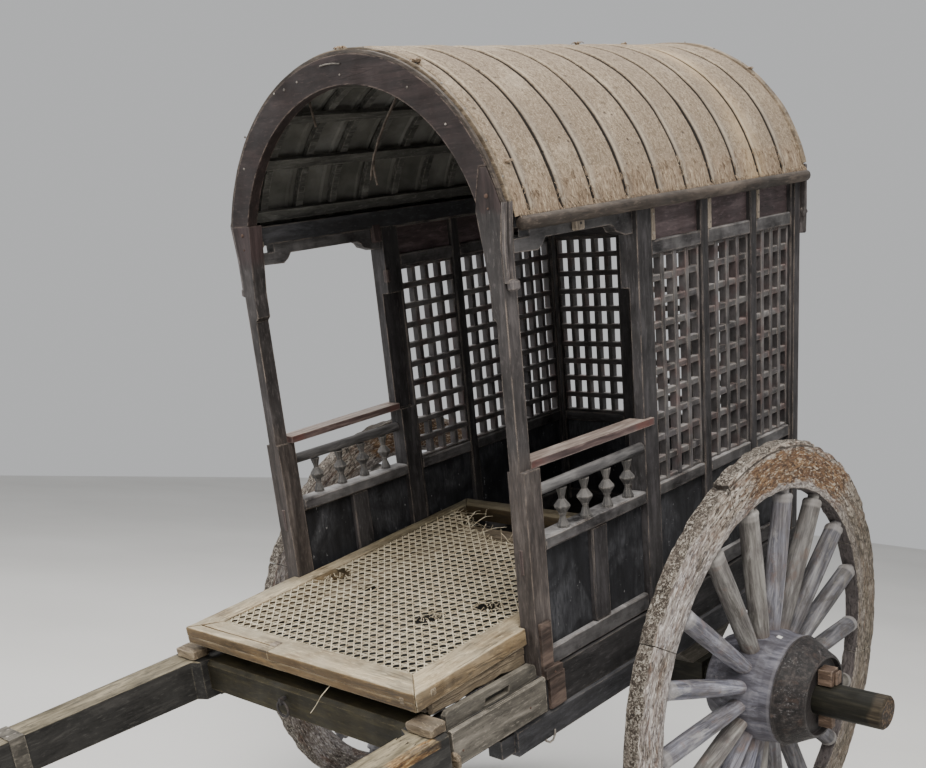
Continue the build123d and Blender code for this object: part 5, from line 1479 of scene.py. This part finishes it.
def wall_frame(name, side):
    """Stiles from rail to plate, rails let in between them."""
    s = Shape(name)
    if side == "rear":
        ax, cross = "x", (1.246, 1.286)
        bays = [(a, b) for a, b, c in REAR_BAYS]
        u0, u1 = -0.400, 0.400
    else:
        sg = 1 if side == "right" else -1
        ax, cross = "y", tuple(sorted((sg * 0.406, sg * 0.446)))
        bays, u0, u1 = SIDE_BAYS, 0.541, 1.260
    edges = [u0] + [e for b in bays for e in b] + [u1]
    stiles = [(edges[i], edges[i + 1]) for i in range(0, len(edges), 2)]
    up = 1.850 if side == "rear" else 1.806

    def put(axis, lo, hi, u, z, mat, ch=0.0028, c=cross):
        if axis == "z":
            a, b = ((u, c) if side == "rear" else (c, u))
            timber(s, "z", lo, hi, a, b, ch, 0.06, 0.0006, mat)
        else:
            timber(s, ax, lo, hi, c, z, ch, 0.06, 0.0006, mat)

    for a, b in stiles:
        put("z", 0.804, up, (a, b), None, 0)
    inn = (cross[0] + 0.0015, cross[1] - 0.0015)
    for a, b in bays:
        for z0, z1 in ((0.804, 0.850), (1.095, 1.127), (1.692, 1.726), (1.800, up)):
            put("u", a - 0.0005, b + 0.0005, None, (z0, z1), 1, 0.003, inn)
    if side != "rear":
        # front bay
        s0, s1 = tuple(sorted((sg * 0.400, sg * 0.452)))
        timber(s, "y", 0.0585, 0.4795, (s0, s1), (1.095, 1.1268), 0.004, 0.05, 0.0008, 2)
        timber(s, "y", 0.0585, 0.4795, cross, (0.804, 0.850), 0.003, 0.05, 0.0008, 1)
        timber(s, "z", 0.8505, 1.0945, cross, (0.247, 0.309), 0.0035, 0.05, 0.0008, 0)
        # pale slips up the left of each frieze panel
        for a, b in ((0.5515, 0.5665), (0.8105, 0.8245), (1.0585, 1.0715)):
            c = tuple(sorted((sg * 0.4362, sg * 0.4472)))
            timber(s, "z", 1.7262, 1.7995, c, (a, b), 0.0015, 0.03, 0.0006, 3)
            for z in (1.742, 1.785):
                nail(s, (sg * 0.4472, (a + b) / 2, z), (sg, 0, 0), 0.0030, 4)
    mats = {"rear": ("post_z", "post_x"), "right": ("post_z", "post_y"), "left": ("post_z", "post_y")}[side]
    return s.build([M[mats[0]], M[mats[1]], M["post_y"], M["pale_z"], M["nail"]], "body",
                   ("rear_frame" if side == "rear" else f"side_frame_{side}",), smooth=35)


def lattice(name, side):
    """Upright and level bars half-lapped together, each a little worn."""
    s = Shape(name)
    mats = [M["grid_z"], M["grid_x" if side == "rear" else "grid_y"]]
    bays = REAR_BAYS if side == "rear" else [(a, b, 4) for a, b in SIDE_BAYS]
    if side == "rear":
        out, inn = 1.277, 1.255
        v_c, h_c, ax = (inn, out), (inn - 0.0015, out - 0.0030), "x"
    else:
        sg = 1 if side == "right" else -1
        v_c = tuple(sorted((sg * 0.415, sg * 0.437)))
        h_c = tuple(sorted((sg * 0.4135, sg * 0.434)))
        ax = "y"
    rows = 10
    for a, b, cols in bays:
        pu, pz = (b - a) / cols, (LZ1 - LZ0) / rows
        for k in range(cols + 1):
            u = a + pu * k
            lo, hi = max(a, u - 0.008), min(b, u + 0.008)
            j = rng.uniform(-0.0007, 0.0007)
            w = (lo + j, hi + j) if 0 < k < cols else (lo, hi)
            if side == "rear":
                timber(s, "z", LZ0, LZ1, w, v_c, 0.0016, 0.057, 0.0006, 0)
            else:
                timber(s, "z", LZ0, LZ1, v_c, w, 0.0016, 0.057, 0.0006, 0)
        for k in range(rows + 1):
            z = LZ0 + pz * k
            lo, hi = max(LZ0, z - 0.008), min(LZ1, z + 0.008)
            j = rng.uniform(-0.0007, 0.0007)
            w = (lo + j, hi + j) if 0 < k < rows else (lo, hi)
            timber(s, ax, a, b, h_c, w, 0.0016, 0.05, 0.0006, 1)
    return s.build(mats, "body", (f"lattice_{side}",), smooth=35)


# ------------------------------------------------------------ small fittings
def build_fittings():
    s = Shape("iron_fittings")
    # nails and the staple mark on the arch board
    for x, z, r in ((-0.171, 2.143, 0.0035), (-0.208, 2.139, 0.003), (-0.123, 2.153, 0.003), (-0.362, 1.989, 0.0035),
                    (-0.339, 2.059, 0.003), (0.220, 2.101, 0.003), (0.318, 2.020, 0.0028), (0.02, 2.150, 0.0028)):
        nail(s, (x, -0.0005, z), (0, -1, 0), r, 0)
    tube(s, [(-0.039, -0.002, 2.1745), (-0.020, -0.0035, 2.1755), (0.005, -0.0035, 2.1745), (0.026, -0.002, 2.171)], 0.0016, 6, 0)
    # rusty nail in the scarf of each post
    for sg in (1, -1):
        nail(s, (sg * 0.411, -0.0005, 1.875 if sg > 0 else 1.835), (0, -1, 0), 0.0050, 1, 0.003)
        nail(s, (sg * 0.413, -0.0005, 1.850 if sg > 0 else 1.800), (0, -1, 0), 0.0026, 1, 0.0015)
    # hook under the side timber
    hook = [(0.452, -0.002, 0.640), (0.456, 0.000, 0.628), (0.459, 0.010, 0.621), (0.460, 0.022, 0.623), (0.460, 0.030, 0.634),
            (0.459, 0.033, 0.647)]
    tube(s, hook, lambda t: 0.0034 - 0.0010 * t, 7, 0)
    # nails in the side boards
    for x, y, z, n in ((0.4525, -0.24, 0.775, (1, 0, 0)), (0.4665, -0.30, 0.742, (1, 0, 0)), (0.4665, -0.06, 0.745, (1, 0, 0)),
                       (0.4325, 0.281, 0.905, (1, 0, 0)), (0.4685, 0.040, 0.800, (1, 0, 0))):
        nail(s, (x, y, z), n, 0.0032, 1)
    # iron pin through the pale tenon of the right lintel
    nail(s, (0.4532, 0.262, 1.794), (1, 0, 0), 0.0042, 2, 0.001)
    return s.build([M["nail"], M["rust"], M["iron"]], "body", smooth=50)


def build_straps():
    """Straps round each shaft, one ahead of the seat and one near the tip, with nails."""
    s = Shape("shaft_straps")

    def strap(sg, y0, y1, grow, mat):
        t0 = (-0.345 - y0) / (2.750 - 0.345)
        t1 = (-0.345 - y1) / (2.750 - 0.345)
        verts, faces = [], []
        n = 3
        for q in range(n + 1):
            y = y0 + (y1 - y0) * q / n
            t = t0 + (t1 - t0) * q / n
            xi, xo = 0.398 + 0.014 * t, 0.486 - 0.014 * t
            zb, zt = 0.703 + 0.039 * t, 0.810 - 0.008 * t
            for d in (0.0008, grow):
                for cx, cz in ((xi - d, zb - d), (xo + d, zb - d), (xo + d, zt + d), (xi - d, zt + d)):
                    verts.append((sg * cx, y + 0.001 * wob(cx * 30, cz * 30, q), cz))
        for q in range(n):
            for e in range(4):
                a, b = q * 8 + e, q * 8 + (e + 1) % 4
                faces.append((a, b, b + 8, a + 8))
                a, b = a + 4, b + 4
                faces.append((a, b, b + 8, a + 8))
        for base in (0, n * 8):
            for e in range(4):
                a, b = base + e, base + (e + 1) % 4
                faces.append((a, b, b + 4, a + 4))
        s.add(verts, faces, mat)
        for y in (y0 + 0.010, y1 - 0.010):
            for cx in (0.425, 0.460):
                nail(s, (sg * cx, y, 0.810 - 0.008 * t0 + grow), (0, 0, 1), 0.004, 1)

    for sg in (1, -1):
        strap(sg, -0.925, -0.885, 0.0032, 0)
        strap(sg, -2.62, -2.58, 0.0030, 0)
    return s.build([M["beam_y"], M["nail"]], "body", smooth=35)


def build_wood_bits():
    """Pegs, plugs, broken slips and loose sticks."""
    s = Shape("wood_bits")
    # oblong plug in the face of each front post, and a peg in the mid posts
    for sg in (1, -1):
        timber(s, "z", 1.049, 1.113, tuple(sorted((sg * 0.4185, sg * 0.4315))), (-0.0016, 0.010), 0.0022, 0.02, 0.0006, 3)
        if sg < 0:
            timber(s, "z", 1.655, 1.692, (-0.412, -0.3965), (0.4795, 0.494), 0.003, 0.02, 0.001, 3)
    # pale tenon with a square hole in the right lintel
    timber(s, "z", 1.780, 1.808, (0.4395, 0.4530), (0.243, 0.279), 0.003, 0.01, 0.0008, 0)
    # small bracket and plug inside the left lintel
    timber(s, "y", 0.442, 0.4795, (-0.4105, -0.396), (1.768, 1.816), 0.006, 0.008, 0.003, 3)
    timber(s, "z", 1.800, 1.816, (-0.4105, -0.399), (0.041, 0.056), 0.002, 0.01, 0.0006, 0)
    # bent slip that has come loose inside the vault, doubled at its lower end, and a short one
    path = [(0.148, 0.064, 2.122), (0.135, 0.062, 2.102), (0.114, 0.060, 2.077), (0.086, 0.060, 2.048), (0.056, 0.061, 2.012),
            (0.034, 0.062, 1.978), (0.020, 0.063, 1.950), (0.014, 0.064, 1.930)]
    tube(s, path, lambda t: 0.0046 - 0.0010 * t, 7, 1, None, 0.55)
    path = [(0.030, 0.066, 1.985), (0.024, 0.067, 1.962), (0.024, 0.068, 1.940), (0.028, 0.068, 1.918)]
    tube(s, path, lambda t: 0.0042 - 0.0008 * t, 6, 1, None, 0.55)
    tube(s, [(-0.156, 0.058, 2.125), (-0.153, 0.060, 2.092), (-0.146, 0.060, 2.059)], 0.0036, 6, 1, None, 0.55)
    # broken stub beside the right shaft, rough block tops
    for sg in (1, -1):
        rock(s, (sg * 0.4745, -0.3385, 0.7435), (0.0155, 0.0068, 0.0115), 5.0 + sg, 5, None, 3, 0.6)
    # a split upper skin on the right shaft, lifted and broken off short of the block
    verts, faces, n = [], [], 30
    for q in range(n + 1):
        x = 0.3990 + 0.0870 * q / n
        back = -0.428 - 0.022 * abs(wob(x * 60, 1.0, 2.0)) - 0.030 * max(0.0, wob(x * 150, 4.0, 2.0)) + (0.018 if x > 0.462 else 0.0)
        for y, lift in ((back, 0.0042), (back - 0.05, 0.0034), (-0.64, 0.0026), (-0.80, 0.0006)):
            zt = 0.810 - 0.008 * (-0.345 - y) / 2.405
            verts += [(x, y, zt + lift + 0.0008 * wob(x * 90, y * 20, 1.0)), (x, y, zt - 0.003)]
    for q in range(n):
        for e in range(3):
            a0, b0 = q * 8 + e * 2, (q + 1) * 8 + e * 2
            faces += [(a0, b0, b0 + 2, a0 + 2), (a0 + 1, a0 + 3, b0 + 3, b0 + 1)]
        faces += [(q * 8, q * 8 + 1, q * 8 + 9, q * 8 + 8), (q * 8 + 6, q * 8 + 14, q * 8 + 15, q * 8 + 7)]
    for base in (0, n * 8):
        for e in range(3):
            k = base + e * 2
            faces.append((k, k + 2, k + 3, k + 1))
    s.add(verts, faces, 4)
    for k in range(7):
        x, y = 0.466 + 0.0026 * k, -0.412 - 0.004 * (k % 3)
        timber(s, "y", y - 0.045, y, (x, x + 0.0022), (0.8085, 0.8125 + 0.0007 * (k % 4)), 0.0008, 0.015, 0.0008, 5)
    return s.build([M["pale_z"], M["pole_y"], M["rough_y"], M["plum_z"], M["shaft"], M["tan_y"]], "body", smooth=40)


def build_blocks():
    """Rough-hewn blocks at the ends of the front beam, and a wedge against each shaft pin."""
    s = Shape("hewn_blocks")

    def hewn(x, y, z, seed, cut):
        """A block whose faces and edges wander as if split with an axe."""
        n = 7
        verts, idx, faces = [], {}, []
        lo, hi = (x[0], y[0], z[0]), (x[1], y[1], z[1])
        for i in range(n + 1):
            for j in range(n + 1):
                for k in range(n + 1):
                    if 0 < i < n and 0 < j < n and 0 < k < n:
                        continue
                    p = [lo[a] + (hi[a] - lo[a]) * v / n for a, v in enumerate((i, j, k))]
                    out = sum(1 for v in (i, j, k) if v in (0, n))
                    mid = [(lo[a] + hi[a]) / 2 for a in range(3)]
                    for a in range(3):
                        w = wob(p[0] * 55 + a * 9, p[1] * 55, p[2] * 55, 1.0, seed)
                        pull = (0.0010, 0.0032, 0.0058)[out - 1] * (1 + 1.2 * w) + 0.0012 * abs(w)
                        p[a] -= math.copysign(min(pull, (hi[a] - lo[a]) * 0.3), p[a] - mid[a]) if (i, j, k)[a] in (0, n) else 0.0
                    if k == n:
                        p[2] -= cut * max(0.0, (i / n - 0.45)) * (1 - 0.5 * j / n)
                    idx[i, j, k] = len(verts)
                    verts.append(tuple(p))
        for u in range(n):
            for v in range(n):
                for w in (0, n):
                    faces.append((idx[w, u, v], idx[w, u + 1, v], idx[w, u + 1, v + 1], idx[w, u, v + 1]))
                    faces.append((idx[u, w, v], idx[u + 1, w, v], idx[u + 1, w, v + 1], idx[u, w, v + 1]))
                    faces.append((idx[u, v, w], idx[u + 1, v, w], idx[u + 1, v + 1, w], idx[u, v + 1, w]))
        s.add(verts, faces, 0)

    for sg in (1, -1):
        hewn(sorted((sg * 0.392, sg * 0.470)), (-0.398, -0.342), (0.8098, 0.838), 3.0 + sg, 0.010 * (sg > 0))
        hewn(sorted((sg * 0.460, sg * 0.490)), (-0.344, -0.331), (0.716, 0.752), 9.0 + sg, 0.0)
        # thin wedge driven beside the pin
        px = 0.8185 if sg > 0 else -0.928
        xs = sorted((px + sg * 0.0185, px + sg * 0.0275))
        timber(s, "z", AXLE_Z + 0.0455, AXLE_Z + 0.083, tuple(xs), (AXLE_Y - 0.002, AXLE_Y + 0.024), 0.003, 0.01, 0.0012, 1)
    return s.build([M["rough_x"], M["pin"]], "body", ("corner_blocks",), smooth=32)


def build_bearers():
    """Rough split boards packed under the seat, and their splintered lower edges."""
    s = Shape("packing_boards")
    rise = math.tan(TILT)

    def wedge(x0, x1, ya, yb, z_low, mat, seed, drop=0.006):
        n = max(6, int((yb - ya) / 0.028))
        verts, faces = [], []
        for q in range(n + 1):
            y = ya + (yb - ya) * q / n
            zt = 0.855 + rise * (y + 0.382) - 0.0008
            zb = z_low + drop * (wob(y * 14, seed, 0) + 0.5 * wob(y * 47, seed, 4.0))
            j = 0.0022 * wob(y * 20, seed, 9.0)
            sg = 1 if x1 > 0 else -1
            xa, xb = (x0, x1) if sg > 0 else (x1, x0)
            mid = zb + (zt - zb) * 0.55 + 0.004 * wob(y * 9, seed, 2.0)
            for x, z in ((xa, zb), (xa, zt), (xb + sg * (j - 0.001), zt), (xb + sg * (j * 0.6), mid + 0.002),
                         (xb - sg * 0.0025 + sg * j, mid - 0.002), (xb - sg * 0.001 - sg * j, zb + 0.004), (xb - sg * 0.005, zb)):
                verts.append((x, y, z))
        m = 7
        for q in range(n):
            for e in range(m):
                faces.append((q * m + e, q * m + (e + 1) % m, (q + 1) * m + (e + 1) % m, (q + 1) * m + e))
        faces += [tuple(range(m)), tuple(range(n * m, n * m + m))]
        s.add(verts, faces, mat)

    for sg in (1, -1):
        a = tuple(sorted((sg * 0.372, sg * 0.396), key=abs))
        b = tuple(sorted((sg * 0.3965, sg * 0.4125), key=abs))
        wedge(a[0], a[1], -0.330, 0.700, 0.824, 0, 3.0 + sg)
        wedge(b[0], b[1], -0.326, -0.004, 0.826, 0, 11.0 + sg, 0.009)
        x = tuple(sorted((sg * 0.345, sg * 0.3715)))
        timber(s, "y", -0.330, 0.700, x, (0.8225, 0.851), 0.003, 0.06, 0.001, 0)
    timber(s, "x", -0.343, 0.343, (-0.330, -0.286), (0.8225, 0.852), 0.004, 0.05, 0.0012, 1)
    timber(s, "x", -0.343, 0.343, (0.620, 0.680), (0.8225, 0.880), 0.004, 0.05, 0.0012, 1)
    return s.build([M["rough_y"], M["rough_x"]], "body", ("seat_bearers",), smooth=30)


build_camera()
M = build_materials()
dress_cad(M)
build_stage()
for side, x0 in (("right", 0.6355), ("left", -0.745)):
    build_rim(side, x0)
    build_wheel_bits(side, x0)
build_seat_frame()
build_cane()
build_loose_cane()
build_bearers()
build_blocks()
build_poles()
build_balusters()
build_roof_mat()
build_roof_trim()
build_roof_bits()
build_rear_edge()
for side in ("right", "left", "rear"):
    wall_frame(f"wall_frame_{side}", side)
    lattice(f"lattice_bars_{side}", side)
build_fittings()
build_straps()
build_wood_bits()

bpy.context.view_layer.update()
LO1, HI1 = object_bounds()
print("CAD box", [round(float(v), 4) for v in (*LO0, *HI0)])
print("visual box", [round(float(v), 4) for v in (*LO1, *HI1)])
